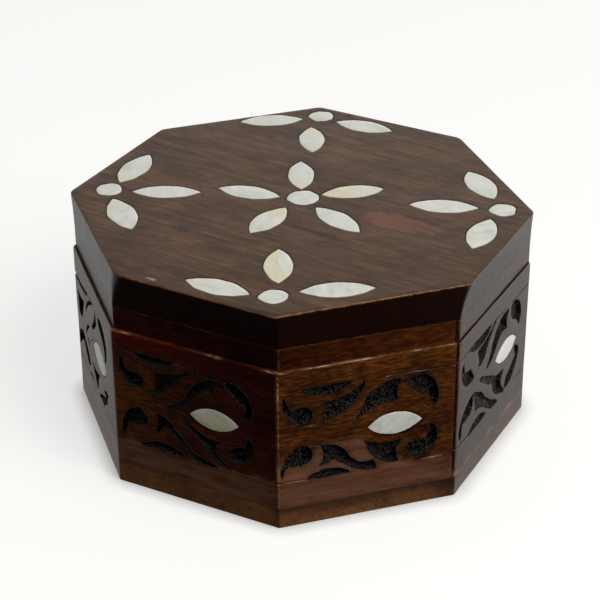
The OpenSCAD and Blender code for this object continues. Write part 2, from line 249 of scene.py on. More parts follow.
def round_outline(diameter, count=44):
    a = np.linspace(0, 2 * math.pi, count, endpoint=False)
    return np.stack([np.cos(a), np.sin(a)], 1) * diameter / 2


def placed(points, angle=0.0, shift=(0.0, 0.0), scale=1.0):
    c, s = math.cos(angle), math.sin(angle)
    return points @ np.array([[c, s], [-s, c]]) * scale + np.array(shift)


def ripple(points, wavelength, seed):
    """Smooth noise from -1 to 1 at the points, the same for the same seed."""
    draw = np.random.default_rng(seed)
    total = np.zeros(len(points))
    for _ in range(5):
        way = draw.normal(size=points.shape[1])
        way *= 2 * math.pi / (wavelength * draw.uniform(0.7, 1.6) * np.linalg.norm(way))
        total += np.sin(points @ way + draw.uniform(0, 2 * math.pi))
    return total / 3.2


def hand_cut(points, amount, wavelength, seed):
    """The outline as a hand would cut it: each point strays smoothly."""
    stray = np.stack([ripple(points, wavelength, seed), ripple(points, wavelength, seed + 1)], 1)
    return points + amount * stray


def grown(points, gap):
    """The outline moved outwards by gap along its own normals, points running anticlockwise."""
    ahead = np.roll(points, -1, 0) - np.roll(points, 1, 0)
    out = np.stack([ahead[:, 1], -ahead[:, 0]], 1)
    return points + gap * out / np.linalg.norm(out, axis=1, keepdims=True)


def inside_distance(points, loop):
    """Distance to the outline, positive inside it."""
    a, b = loop, np.roll(loop, -1, 0)
    ba, pa = b - a, points[:, None] - a[None]
    t = np.clip((pa * ba).sum(2) / (ba * ba).sum(1), 0, 1)
    d = np.linalg.norm(pa - ba * t[..., None], axis=2).min(1)
    x, y = points[:, :1], points[:, 1:]
    crosses = (a[:, 1] > y) != (b[:, 1] > y)
    with np.errstate(divide="ignore", invalid="ignore"):
        at = a[:, 0] + (y - a[:, 1]) * ba[:, 0] / ba[:, 1]
    inside = (crosses & (x < at)).sum(1) % 2 == 1
    return np.where(inside, d, -d)


def line_distance(points, path):
    """Distance to an open path, and how far along it the nearest place is, from 0 to 1."""
    a, b = path[:-1], path[1:]
    ba, pa = b - a, points[:, None] - a[None]
    t = np.clip((pa * ba).sum(2) / (ba * ba).sum(1), 0, 1)
    d = np.linalg.norm(pa - ba * t[..., None], axis=2)
    nearest = d.argmin(1)
    rows = np.arange(len(points))
    return d[rows, nearest], (nearest + t[rows, nearest]) / len(a)


def step_up(x, low, high):
    t = np.clip((x - low) / (high - low), 0, 1)
    return t * t * (3 - 2 * t)


# ---------------------------------------------------------------- meshes
def thinned(groups, closest):
    """All the points, without those that lie closer than that to one of an earlier group."""
    kept, taken = [], {}
    for group in groups:
        for p in group:
            cell = (math.floor(p[0] / closest), math.floor(p[1] / closest))
            near = [
                q
                for i in (-1, 0, 1)
                for j in (-1, 0, 1)
                for q in taken.get((cell[0] + i, cell[1] + j), ())
            ]
            if all((p[0] - q[0]) ** 2 + (p[1] - q[1]) ** 2 > closest**2 for q in near):
                taken.setdefault(cell, []).append(p)
                kept.append(p)
    return np.array(kept)


def triangulated(ring, points, loops=()):
    """Triangles inside the ring, through all the points. Returns the points and the faces, ring first."""
    every = np.vstack([ring, points] + list(loops)) if len(loops) else np.vstack([ring, points])
    edges, start = [], len(ring) + len(points)
    for loop in loops:
        n = len(loop)
        edges += [(start + i, start + (i + 1) % n) for i in range(n)]
        start += n
    verts, _, faces, origins, _, _ = delaunay_2d_cdt(
        [Vector(p) for p in every], edges, [list(range(len(ring)))], 1, 1e-5
    )
    first = {}
    for i, from_points in enumerate(origins):
        for k in from_points:
            first[k] = i
    order = [first[k] for k in range(len(ring))]
    rest = [i for i in range(len(verts)) if i not in set(order)]
    renumber = {old: new for new, old in enumerate(order + rest)}
    points = np.array([tuple(verts[i]) for i in order + rest])
    return points, [[renumber[i] for i in f] for f in faces]


def build(name, verts, faces, marks, body, replaced, material, sharp=32):
    """A mesh piece from points in millimetres, riding on a body in place of CAD nodes."""
    mesh = bpy.data.meshes.new(name)
    mesh.from_pydata((np.array(verts) * MM).tolist(), [], faces)
    for key, values in marks.items():
        kind = "FLOAT_VECTOR" if np.ndim(values) == 2 else "FLOAT"
        layer = mesh.attributes.new(key, kind, "POINT")
        layer.data.foreach_set("vector" if kind == "FLOAT_VECTOR" else "value", np.ravel(values))
    piece = bpy.data.objects.new(name, mesh)
    bpy.context.scene.collection.objects.link(piece)
    tidy = bmesh.new()
    tidy.from_mesh(mesh)
    bmesh.ops.recalc_face_normals(tidy, faces=tidy.faces)
    tidy.to_mesh(mesh)
    tidy.free()
    mesh.shade_smooth()
    mesh.set_sharp_from_angle(angle=math.radians(sharp))
    mesh.materials.append(material)
    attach(piece, body)
    if replaced:
        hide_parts(*replaced)
    return piece


def solid(top, faces, rows, spacing=0.0):
    """A closed surface: the top, then rows of points below its ring, then a flat underside.

    With a spacing, the underside is filled with triangles about that size.
    """
    n = len(rows[0])
    verts = [top] + list(rows)
    faces = [list(f) for f in faces]
    above, start = list(range(n)), len(top)
    for row in rows:
        below = list(range(start, start + n))
        for i in range(n):
            j = (i + 1) % n
            faces.append([above[j], above[i], below[i], below[j]])
        above, start = below, start + n
    if not spacing:
        faces.append(above[::-1])
        return np.vstack(verts), faces
    ring, low = rows[-1][:, :2], rows[-1][0, 2]
    (u0, v0), (u1, v1) = ring.min(0), ring.max(0)
    fill = grid(u0, u1, v0, v1, spacing, 77)
    flat, under = triangulated(ring, fill[inside_distance(fill, ring) > spacing / 2])
    number = np.array(above + list(range(start, start + len(flat) - n)))
    faces += [[number[i] for i in f][::-1] for f in under]
    verts.append(np.column_stack([flat[n:], np.full(len(flat) - n, low)]))
    return np.vstack(verts), faces


def turned(points, side):
    """Turns points about the box's axis from the front side to another side."""
    a = TURN * side
    c, s = math.cos(a), math.sin(a)
    x, y = points[:, 0] * c - points[:, 1] * s, points[:, 0] * s + points[:, 1] * c
    return np.stack([x, y, points[:, 2]], 1)


# ---------------------------------------------------------------- materials
class Paint:
    """Short ways to lay out one material's nodes."""

    def __init__(self, name):
        self.material = bpy.data.materials.new(name)
        self.material.use_nodes = True
        self.tree = self.material.node_tree
        self.tree.nodes.clear()
        self.surface = self.add("ShaderNodeBsdfPrincipled")
        out = self.add("ShaderNodeOutputMaterial")
        self.tree.links.new(self.surface.outputs[0], out.inputs[0])

    def add(self, kind, **settings):
        node = self.tree.nodes.new(kind)
        for key, value in settings.items():
            setattr(node, key, value)
        return node

    def plug(self, node, key, value):
        if isinstance(value, bpy.types.NodeSocket):
            self.tree.links.new(value, node.inputs[key])
        elif value is not None:
            node.inputs[key].default_value = value

    def set(self, **values):
        for key, value in values.items():
            self.plug(self.surface, key.replace("_", " "), value)

    def mark(self, name, vector=False):
        node = self.add("ShaderNodeAttribute", attribute_name=name)
        return node.outputs["Vector" if vector else "Fac"]

    def scaled(self, vector, scale, offset=(0, 0, 0)):
        node = self.add("ShaderNodeMapping")
        self.plug(node, "Vector", vector)
        self.plug(node, "Scale", scale)
        self.plug(node, "Location", offset)
        return node.outputs[0]

    def noise(self, vector, scale=1.0, detail=3.0, rough=0.55, distortion=0.0):
        node = self.add("ShaderNodeTexNoise")
        self.plug(node, "Vector", vector)
        self.plug(node, "Scale", scale)
        self.plug(node, "Detail", detail)
        self.plug(node, "Roughness", rough)
        self.plug(node, "Distortion", distortion)
        return node.outputs["Fac"]

    def cells(self, vector, scale=1.0, feature="F1"):
        node = self.add("ShaderNodeTexVoronoi", feature=feature)
        self.plug(node, "Vector", vector)
        self.plug(node, "Scale", scale)
        return node.outputs["Distance"]

    def math(self, operation, a, b=None, c=None):
        node = self.add("ShaderNodeMath", operation=operation)
        for key, value in enumerate((a, b, c)):
            self.plug(node, key, value)
        return node.outputs[0]

    def between(self, value, low, high, to_low=0.0, to_high=1.0):
        node = self.add("ShaderNodeMapRange", interpolation_type="SMOOTHSTEP")
        self.plug(node, "Value", value)
        self.plug(node, "From Min", low)
        self.plug(node, "From Max", high)
        self.plug(node, "To Min", to_low)
        self.plug(node, "To Max", to_high)
        return node.outputs[0]

    def ramp(self, value, stops):
        node = self.add("ShaderNodeValToRGB")
        while len(node.color_ramp.elements) < len(stops):
            node.color_ramp.elements.new(0.5)
        for element, (place, colour) in zip(node.color_ramp.elements, stops):
            element.position = place
            element.color = (*colour, 1)
        self.plug(node, "Fac", value)
        return node.outputs[0]

    def mix(self, factor, a, b, blend="MIX"):
        node = self.add("ShaderNodeMix", data_type="RGBA", blend_type=blend)
        self.plug(node, 0, factor)
        self.plug(node, 6, (*a, 1) if isinstance(a, tuple) else a)
        self.plug(node, 7, (*b, 1) if isinstance(b, tuple) else b)
        return node.outputs[2]

    def bump(self, height, distance, below=None):
        node = self.add("ShaderNodeBump")
        self.plug(node, "Height", height)
        self.plug(node, "Distance", distance)
        self.plug(node, "Normal", below)
        return node.outputs[0]


def colour(r, g, b):
    """A colour from its 0-255 screen values."""
    return tuple(((v / 255 + 0.055) / 1.055) ** 2.4 if v > 10 else v / 255 / 12.92 for v in (r, g, b))


def wood(name, shades, rough, streak, flecked, extra=None, smoother=0.0):
    """Varnished wood whose fibres run along the first number of each point's grain mark.

    shades are its dark, middle and light colours and that of bare wood. The marks say where it is
    worn bare or has a painted highlight in the bare colour, cut and blackened, stained beside a cut,
    or dark with dirt in a seam. tone makes the whole piece lighter or darker.
    """
    dark, middle, light, bare = (colour(*shade) for shade in shades)
    p = Paint(name)
    grain = p.mark("grain", vector=True)
    drift = p.noise(p.scaled(grain, (0.018, 0.09, 0.09)), detail=1.5)
    bent = p.add("ShaderNodeVectorMath", operation="MULTIPLY_ADD")
    p.plug(bent, 0, drift)
    p.plug(bent, 1, (0, 4.0, 2.0))
    p.plug(bent, 2, grain)
    bent = bent.outputs[0]
    bands = p.noise(p.scaled(bent, (0.035, 0.55, 0.55)), detail=4, rough=0.62)
    fibres = p.noise(p.scaled(bent, (0.1, 3.4, 3.4)), detail=4, rough=0.75)
    blotches = p.noise(p.scaled(grain, (0.05, 0.08, 0.08)), detail=2)
    flecks = p.noise(p.scaled(grain, (0.28, 1.1, 1.1)), detail=3, rough=0.6)
    pores = p.between(p.noise(p.scaled(bent, (0.42, 5.5, 5.5)), detail=1), 0.6, 0.7)
    figure = p.math("MULTIPLY_ADD", bands, 0.5 * streak, 0.5 - 0.25 * streak)
    figure = p.math("ADD", figure, p.math("MULTIPLY_ADD", fibres, 0.7 * streak, -0.35 * streak))
    figure = p.math("ADD", figure, p.math("MULTIPLY_ADD", blotches, 0.6, -0.3))
    figure = p.math("ADD", figure, p.math("MULTIPLY_ADD", flecks, flecked, -flecked / 2))
    figure = p.math("ADD", figure, p.mark("tone"))
    tint = p.ramp(figure, [(0.22, dark), (0.5, middle), (0.8, light)])
    tint = p.mix(p.math("MULTIPLY", pores, 0.6), tint, dark)
    tint = p.mix(p.mark("red"), tint, (0.8, 0.2, 0.3), "MULTIPLY")
    if extra:
        tint = extra(p, tint, grain)
    tint = p.mix(p.math("MULTIPLY", p.mark("halo"), 0.7), tint, (0.008, 0.003, 0.002))
    rub = p.noise(p.scaled(grain, (0.3, 0.6, 0.6)), detail=4, rough=0.7)
    # The wear mark lays the bare wood colour on worn places and, on the walls' top edges, as painted
    # highlights.
    worn = p.math("MULTIPLY", p.mark("wear"), p.between(rub, 0.36, 0.6))
    tint = p.mix(worn, tint, bare)
    tint = p.mix(p.math("MULTIPLY", p.mark("seam"), 0.8), tint, (0.006, 0.003, 0.002))
    soot = p.noise(p.scaled(grain, (0.9, 0.9, 0.9)), detail=5, rough=0.7)
    chisel = p.noise(p.scaled(grain, (1.5, 0.3, 0.6)), detail=3, rough=0.6, distortion=0.6)
    black = p.ramp(chisel, [(0.42, (0.0012, 0.001, 0.0009)), (0.7, (0.012, 0.006, 0.0035))])
    edge = p.math("ADD", p.mark("carve"), p.math("MULTIPLY_ADD", soot, 1.1, -0.55))
    cut = p.between(edge, 0.28, 0.44)
    tint = p.mix(cut, tint, black)
    shine = p.math("MULTIPLY_ADD", fibres, 0.12, rough - 0.06)
    shine = p.math("ADD", shine, p.math("MULTIPLY", worn, 0.1))
    shine = p.math("ADD", shine, p.math("MULTIPLY", p.mark("faded"), smoother))
    shine = p.math("MULTIPLY_ADD", p.math("SUBTRACT", 0.17, shine), cut, shine)
    chips = p.noise(p.scaled(grain, (1.1, 0.9, 1.1)), detail=4, rough=0.7)
    chips = p.math("MULTIPLY_ADD", chips, 0.6, chisel)
    relief = p.bump(p.math("SUBTRACT", fibres, p.math("MULTIPLY", pores, 0.7)), 0.000015)
    relief = p.bump(p.noise(p.scaled(grain, (0.12, 0.16, 0.16)), detail=1), 0.00012, relief)
    relief = p.bump(p.math("MULTIPLY", chips, cut), 0.0011, relief)
    p.set(Base_Color=tint, Roughness=shine, Normal=relief, IOR=1.42)
    return p.material


def shell_material():
    """Polished mother-of-pearl: cloudy, with growth lines and faint colour."""
    p = Paint("mother_of_pearl")
    grain = p.mark("grain", vector=True)
    tone = p.mark("tone")
    cloud = p.noise(p.scaled(grain, (0.13, 0.3, 0.3)), detail=3, rough=0.5, distortion=0.8)
    warmth = p.noise(p.scaled(grain, (0.07, 0.09, 0.09), (3, 5, 1)), detail=2)
    lines = p.noise(p.scaled(grain, (0.25, 1.7, 1.7)), detail=4, rough=0.65, distortion=1.4)
    fleck = p.noise(p.scaled(grain, (1.6, 2.2, 2.2)), detail=2)
    tint = p.ramp(cloud, [(0.3, (0.66, 0.69, 0.63)), (0.5, (0.81, 0.83, 0.76)), (0.7, (0.9, 0.91, 0.88))])
    tint = p.mix(p.between(p.math("ADD", warmth, tone), 0.5, 0.66), tint, (0.84, 0.78, 0.55))
    tint = p.mix(p.between(lines, 0.6, 0.68, 0, 0.4), tint, (0.5, 0.47, 0.4))
    tint = p.mix(p.between(fleck, 0.55, 0.75, 0, 0.25), tint, (0.84, 0.85, 0.85))
    tint = p.mix(p.math("MULTIPLY", p.mark("edge"), 0.7), tint, (0.36, 0.28, 0.18))
    relief = p.bump(cloud, 0.00015)
    relief = p.bump(lines, 0.00002, relief)
    p.set(Base_Color=tint, Roughness=p.between(cloud, 0.3, 0.7, 0.32, 0.2), Normal=relief, IOR=1.55)
    p.set(Coat_Weight=0.3, Coat_Roughness=0.12)
    return p.material


def velvet_material():
    p = Paint("velvet")
    grain = p.mark("grain", vector=True)
    nap = p.noise(p.scaled(grain, (0.05, 0.09, 0.09)), detail=3, distortion=1.0)
    pile = p.noise(p.scaled(grain, (3.0, 3.0, 3.0)), detail=2)
    tint = p.ramp(nap, [(0.35, (0.09, 0.006, 0.011)), (0.6, (0.17, 0.012, 0.02))])
    tint = p.mix(p.between(pile, 0.4, 0.65, 0, 0.5), tint, (0.05, 0.004, 0.008))
    p.set(Base_Color=tint, Roughness=0.9, Normal=p.bump(pile, 0.00025))
    p.set(Sheen_Weight=0.6, Sheen_Roughness=0.35, Sheen_Tint=(0.9, 0.35, 0.35, 1))
    return p.material


def metal_material(name, bright, dull, rough):
    p = Paint(name)
    place = p.add("ShaderNodeTexCoord").outputs["Object"]
    stain = p.noise(p.scaled(place, (500, 500, 500)), detail=4, rough=0.7)
    brushed = p.noise(p.scaled(place, (400, 4000, 4000)), detail=2)
    tint = p.mix(p.between(stain, 0.42, 0.68), bright, dull)
    shine = p.math("MULTIPLY_ADD", stain, 0.25, rough)
    p.set(Base_Color=tint, Metallic=1.0, Roughness=shine, Normal=p.bump(brushed, 0.00001))
    return p.material


def faded_band(p, tint, grain):
    """The paler, pinkish lower part of the walls, where the varnish has faded."""
    pale = p.ramp(
        p.noise(p.scaled(grain, (0.03, 0.45, 0.45)), detail=4, rough=0.65),
        [(0.3, FADED_DARK), (0.7, FADED_LIGHT)],
    )
    ragged = p.noise(p.scaled(grain, (0.09, 0.3, 0.3)), detail=4, rough=0.6)
    amount = p.math("MULTIPLY", p.mark("faded"), p.between(ragged, 0.32, 0.56, 0.35, 0.95))
    return p.mix(amount, tint, pale)


def dark_upper_edge(p, tint, grain):
    """The base board's darker strip below the walls."""
    return p.mix(p.math("MULTIPLY", p.mark("faded"), 0.75), tint, colour(44, 30, 24))


def lid_marks(p, tint, grain):
    """What marks the lid: its darker edge, rubbed patches, a knot and specks of filler."""
    tint = p.mix(p.math("MULTIPLY", p.mark("faded"), 0.97), tint, colour(24, 4, 2))
    for x, y, across, deep, ragged, low, high, share, shade in LID_SPOTS:
        off = p.add("ShaderNodeVectorMath", operation="SUBTRACT")
        p.plug(off, 0, grain)
        p.plug(off, 1, (x, y, 0))
        shaped = p.scaled(off.outputs[0], (1 / across, 1 / deep, 0))
        far = p.add("ShaderNodeVectorMath", operation="LENGTH")
        p.plug(far, 0, shaped)
        noise = p.noise(p.scaled(grain, (0.16, 0.5, 0)), detail=4)
        reach = p.math("ADD", far.outputs["Value"], p.math("MULTIPLY_ADD", noise, ragged, -ragged / 2))
        tint = p.mix(p.math("MULTIPLY", p.between(reach, high, low), share), tint, colour(*shade))
    return tint


# Each mark on the lid: middle, half width and depth, raggedness, where it ends and begins, its share
# and its colour.
LID_SPOTS = [
    (34, 3.5, 15, 6.5, 2.2, 0.55, 1.0, 0.75, (118, 74, 54)),
    (-48, -8, 12, 5, 2.2, 0.4, 1.2, 0.35, (112, 74, 56)),
    (62.5, 38.5, 3.4, 1.1, 1.6, 0.5, 0.8, 1.0, (22, 14, 10)),
    (-11, -67.2, 5, 1.4, 3.0, 0.0, 0.35, 0.8, (168, 150, 134)),
    (28.0, -69.6, 1.2, 0.8, 0.6, 0.5, 1.0, 0.8, (196, 120, 50)),
]
FADED_DARK, FADED_LIGHT = colour(96, 62, 46), colour(132, 92, 70)
WALL_SHADES = ((30, 10, 3), (74, 38, 10), (126, 74, 20), (204, 156, 100))
RIM_SHADES = ((30, 10, 3), (70, 35, 9), (110, 63, 18), (204, 156, 100))
BASE_SHADES = ((70, 42, 23), (116, 75, 44), (150, 104, 64), (176, 130, 84))
LID_SHADES = ((44, 26, 14), (80, 54, 34), (116, 84, 56), (166, 106, 54))
wall_wood = wood("wall_wood", WALL_SHADES, 0.32, 0.6, 1.0, faded_band)
rim_wood = wood("rim_wood", RIM_SHADES, 0.3, 0.6, 0.9)
base_wood = wood("base_wood", BASE_SHADES, 0.34, 0.8, 0.7, dark_upper_edge)
lid_wood = wood("lid_wood", LID_SHADES, 0.4, 1.5, 0.5, lid_marks, -0.12)
shell = shell_material()
velvet = velvet_material()
brass = metal_material("brass", (0.68, 0.47, 0.2), (0.3, 0.2, 0.1), 0.24)
steel = metal_material("steel", (0.45, 0.44, 0.43), (0.2, 0.17, 0.15), 0.3)


# ---------------------------------------------------------------- carved walls and rim strips
def even(low, high, step):
    return np.linspace(low, high, max(2, round((high - low) / step)) + 1)


def edge_rows(u0, u1, v0, v1, ways, step):
    """Points in rows beside a rectangle's four edges, at each distance in ways."""
    across, up = even(u0, u1, step), even(v0, v1, step)
    rows = []
    for d in ways:
        rows += [(u, v) for u in across for v in (v0 + d, v1 - d)]
        rows += [(u, v) for v in up for u in (u0 + d, u1 - d)]
    return [p for p in rows if u0 < p[0] < u1 and v0 < p[1] < v1]


def rectangle_ring(u0, u1, v0, v1, step):
    """Points round a rectangle, anticlockwise."""
    across, up = even(u0, u1, step), even(v0, v1, step)
    ring = [(u, v0) for u in across[:-1]] + [(u1, v) for v in up[:-1]]
    ring += [(u, v1) for u in across[:0:-1]] + [(u0, v) for v in up[:0:-1]]
    return np.array(ring)


def grid(u0, u1, v0, v1, step, seed, stray=0.25):
    draw = np.random.default_rng(seed)
    u, v = np.meshgrid(np.arange(u0, u1, step), np.arange(v0, v1, step))
    points = np.stack([u.ravel(), v.ravel()], 1)
    return points + draw.uniform(-stray, stray, points.shape) * step


def panel(side, across, low, high, thick, lap, centre_y, seed, ledge, rubbing, carving=None, nicks_and_glints=()):
    """One side strip of the box, carved or plain, drawn flat and then bent round its left corner.

    Flat coordinates: u along the side from its middle, v the height, and depth into the wood.
    rubbing is how worn its top edge and its left corner are, and the nicks are paler bare-wood patches in
    its top edge: partly worn chips, partly painted highlights.
    """
    length = across * SLOPE
    u0, u1 = -length / 2 - lap, length / 2 - lap
    corner = -length / 2
    leaves, grooves, pocket, faded = carving or ([], [], None, None)
    ring = rectangle_ring(u0, u1, low, high, 0.8)
    rings, fill = [], grid(u0, u1, low, high, 1.5, seed)
    covered = -np.ones(len(fill)) * 9
    for leaf in leaves:
        covered = np.maximum(covered, inside_distance(fill, leaf))
        for gap in (0.0, -0.25, -0.6, 0.22):
            moved = grown(leaf, gap)
            rings.append(moved[np.abs(inside_distance(moved, leaf) + gap) < 0.06])
        lo, hi = leaf.min(0), leaf.max(0)
        floor = grid(lo[0], hi[0], lo[1], hi[1], 0.5, seed + 7)
        rings.append(floor[inside_distance(floor, leaf) > 0.75])
    rows = edge_rows(u0, u1, low, high, (0.1, 0.28, 0.7), 0.8)
    bend_rows = np.arange(low + 0.8, high - 0.4, 0.8)
    bend = [(corner + d, v) for d in (-0.4, -0.15, 0.0, 0.15, 0.4) for v in bend_rows]
    for path in grooves:
        path = path[(path[:, 0] > u0 + 0.1) & (path[:, 0] < u1 - 0.1)]
        rings += [path + np.array([0, d]) for d in (0.0, -0.26, 0.26)]
    loops = []
    free = covered < -0.5
    if pocket is not None:
        loops = [grown(pocket, 0.2), grown(pocket, 0.15)]
        rings = [r[inside_distance(r, loops[0]) < -0.3] for r in rings if len(r)]
        free &= inside_distance(fill, loops[0]) < -0.5
        rings += [pocket * s + pocket.mean(0) * (1 - s) for s in (0.8, 0.5)]
    points = thinned([ring, rows, bend] + rings + [fill[free]], 0.16)[len(ring):]
    flat, faces = triangulated(ring, points, loops)
    u, v = flat[:, 0], flat[:, 1]

    depth, carved, halo = np.zeros(len(flat)), np.zeros(len(flat)), np.zeros(len(flat))
    chatter = np.random.default_rng(seed + 9).uniform(-0.26, 0.26, len(flat))
    for k, leaf in enumerate(leaves):
        d = inside_distance(flat, leaf)
        gouge = 0.2 * ripple(flat, 1.9, seed + k) + 0.14 * ripple(flat, 1.0, seed + k + 50)
        cut = 0.04 * step_up(d, -0.08, 0.0) + 0.9 * step_up(d, 0.0, 0.24)
        cut += (CARVE_DEPTH - 0.94 + gouge + chatter) * step_up(d, 0.1, 0.6)
        depth = np.maximum(depth, cut)
        carved = np.maximum(carved, step_up(d, -0.1, 0.08))
        halo = np.maximum(halo, 0.8 * np.exp(np.minimum(d, 0) / 0.35))
    for k, path in enumerate(grooves):
        d, t = line_distance(flat, path)
        strength = (0.75 + 0.3 * ripple(flat, 9, seed + k)) * step_up(np.minimum(t, 1 - t), -0.02, 0.12)
        depth = np.maximum(depth, 0.5 * strength * step_up(d, 0.26, 0.0))
        carved = np.maximum(carved, strength * step_up(d, 0.24, 0.1))
    if pocket is not None:
        d = inside_distance(flat, loops[0])
        sunk = d > 0.02
        depth = np.where(sunk, SHELL_T + 0.05, np.maximum(depth, 0.05 * step_up(d, -0.3, 0)))
        carved = np.where(sunk, 1.0, carved)
        halo = np.maximum(halo, np.exp(np.minimum(d, 0) / 0.35))

    soft = np.clip(0.7 + 0.5 * ripple(flat, 16, seed + 11), 0.1, 1.3)
    top, bottom = np.maximum(high - v, 0), np.maximum(v - low, 0)
    depth += ledge * soft * np.exp(-((top / 0.22) ** 1.4)) + 0.04 * np.exp(-((bottom / 0.15) ** 2))
    ends = np.minimum(u - u0, u1 - u)
    depth += 0.05 * np.exp(-((ends / 0.12) ** 2))
    turn = np.abs(u - corner)
    depth += 0.09 * soft * np.exp(-((turn / 0.3) ** 2))
    depth += 0.025 * ripple(flat, 12, seed + 12) * step_up(np.minimum(top, ends), 0, 3)
    top_rub, corner_rub = rubbing
    rubbed = np.maximum(top_rub * np.exp(-((top / 0.16) ** 2)), corner_rub * np.exp(-((turn / 0.2) ** 2)))
    rubbed = rubbed * soft * 1.3
    # Paler bare-wood patches in the top edge: some are worn chips, some are painted highlights where the
    # edge catches the light.
    for at in nicks_and_glints:
        rubbed += 1.4 * np.exp(-(((u - at) / 1.8) ** 2) - (top / 0.3) ** 2)
    rubbed = np.clip(rubbed, 0, 1) * (1 - carved)
    seam = np.maximum(np.exp(-((ends / 0.12) ** 2)), 0.7 * np.exp(-((bottom / 0.12) ** 2)))
    pale = np.zeros(len(flat))
    if faded:
        edge = np.interp(u, *np.transpose(faded)) + FIELD_Z + 1.6 * ripple(flat, 9, seed + 13)
        pale = step_up(edge - v, -0.5, 2.0)

    plane = centre_y - across / 2
    past = np.maximum(corner - u, 0)
    x = np.where(u < corner, corner - past * math.cos(TURN), u)
    y = np.where(u < corner, plane + past * math.sin(TURN), plane)
    inward = np.where(u < corner - 1e-6, TURN, np.where(u < corner + 1e-6, TURN / 2, 0.0))
    verts = np.stack([x + depth * np.sin(inward), y + depth * np.cos(inward), v], 1)

    share = (ring[:, 0] - u0) / (u1 - u0) - 0.5
    inner_length = (across - 2 * thick) * SLOPE
    back = np.stack([share * inner_length, np.full(len(ring), plane + thick), ring[:, 1]], 1)
    inner_way = np.stack([np.sin(inward), np.cos(inward), 0 * inward], 1)
    shoulder = (verts + 0.15 * inner_way)[: len(ring)]
    verts, faces = solid(verts, faces, [shoulder, back])
    zeros = np.zeros(2 * len(ring))
    marks = {
        "carve": np.concatenate([carved, zeros]),
        "halo": np.concatenate([halo, zeros]),
        "wear": np.concatenate([rubbed, 0.2 * rubbed[: len(ring)], zeros[: len(ring)]]),
        "seam": np.concatenate([seam, zeros]),
        "faded": np.concatenate([pale, zeros]),
        "grain": verts[:, [0, 2, 1]] + np.array([37.0 * side, 11.0 * side, 0]),
    }
    u_all = verts[:, 0].copy()
    verts[:, 1] -= centre_y
    verts = turned(verts, side)
    verts[:, 1] += centre_y
    return verts, faces, marks, u_all


def cut_away(piece, cutters):
    """Takes the cutters' solids out of a piece for good."""
    for cutter in cutters:
        trim = piece.modifiers.new("cut", "BOOLEAN")
        trim.operation, trim.solver, trim.object = "DIFFERENCE", "EXACT", cutter
    bpy.context.view_layer.update()
    shape = piece.evaluated_get(bpy.context.evaluated_depsgraph_get())
    mesh = bpy.data.meshes.new_from_object(shape)
    piece.modifiers.clear()
    old, piece.data = piece.data, mesh
    bpy.data.meshes.remove(old)


def as_object(name, draw):
    """An object whose mesh is what draw adds to an empty bmesh."""
    mesh = bpy.data.meshes.new(name)
    b = bmesh.new()
    draw(b)
    b.to_mesh(mesh)
    b.free()
    made = bpy.data.objects.new(name, mesh)
    bpy.context.scene.collection.objects.link(made)
    return made


def block(low, high):
    """A box between two corners."""
    def draw(b):
        bmesh.ops.create_cube(b, size=1.0)
        for v in b.verts:
            v.co = Vector([(l + h) / 2 * MM + c * (h - l) * MM for c, l, h in zip(v.co, low, high)])

    return as_object("cutter", draw)


def rod(radius, start, end, sides=40):
    """A cylinder along X or Z between two points."""
    start, end = Vector(start) * MM, Vector(end) * MM
    way, r = end - start, radius * MM
    place = Matrix.Translation((start + end) / 2) @ way.to_track_quat("Z", "Y").to_matrix().to_4x4()

    def draw(b):
        bmesh.ops.create_cone(
            b, segments=sides, radius1=r, radius2=r, depth=way.length, cap_ends=True, matrix=place
        )

    return as_object("cutter", draw)


def wedge(up):
    """The bevel behind the pins on which the open lid comes to rest."""
    deep, past = 8, 6
    rise = deep * math.tan(math.radians(BEVEL_ANGLE))
    profile = [(0, 0), (deep, up * rise), (deep, -up * past), (0, -up * past)]
    corners = [(x * BOX_W / 2, PIN_Y + y, PIN_Z + z) for x in (-1, 1) for y, z in profile]

    faces = [(0, 1, 2, 3), (7, 6, 5, 4)] + [(i, i + 4, (i + 1) % 4 + 4, (i + 1) % 4) for i in range(4)]

    def draw(b):
        at = [b.verts.new(Vector(c) * MM) for c in corners]
        for face in faces:
            b.faces.new([at[k] for k in face])
        bmesh.ops.recalc_face_normals(b, faces=b.faces)

    return as_object("cutter", draw)


def hinge_room(up):
    """Cutters for both hinges' leaves and knuckles, in the lid (up = 1) or the walls (up = -1)."""
    cutters = []
    for hand in ("left", "right"):
        lo, hi = span(("lid_leaf_" if up > 0 else "wall_leaf_") + hand)
        face = rim_lo[2] if up > 0 else wall_hi[2]
        leaf = 0.7
        low_z, high_z = (face - 3, face + leaf) if up > 0 else (face - leaf, face + 3)
        cutters.append(block((lo[0] - 0.1, lo[1] - 0.1, low_z), (hi[0] + 0.1, PIN_Y + 0.4, high_z)))
        cutters.append(rod(1.6, (lo[0] - 0.1, PIN_Y, PIN_Z), (hi[0] + 0.1, PIN_Y, PIN_Z)))
    return cutters


def widened(shape, gap):
    """The outline moved outwards and thinned, so that sharp tips and hollows stay free of loops."""
    wide = grown(shape, gap)
    kept = wide[np.abs(inside_distance(wide, shape) + gap) < 0.35 * gap + 0.02]
    far = np.linalg.norm(kept - np.roll(kept, 1, 0), axis=1) > 0.12
    return kept[far]


def strayed(corners, seed, sure, bolder):
    """A leaf as this side's carver cut it: a little off the drawing, with a ragged edge."""
    draw = random.Random(seed)
    shape = outline(corners)
    middle = shape.mean(0)
    if not sure:
        shift = np.array([draw.uniform(-0.5, 0.5), draw.uniform(-0.3, 0.3)])
        angle = math.radians(draw.uniform(-3, 3))
        shape = placed(shape - middle, angle, middle + shift, draw.uniform(0.94, 1.05))
    return hand_cut(hand_cut(widened(shape, bolder), 0.12, 5, seed), 0.11, 1.2, seed + 3)


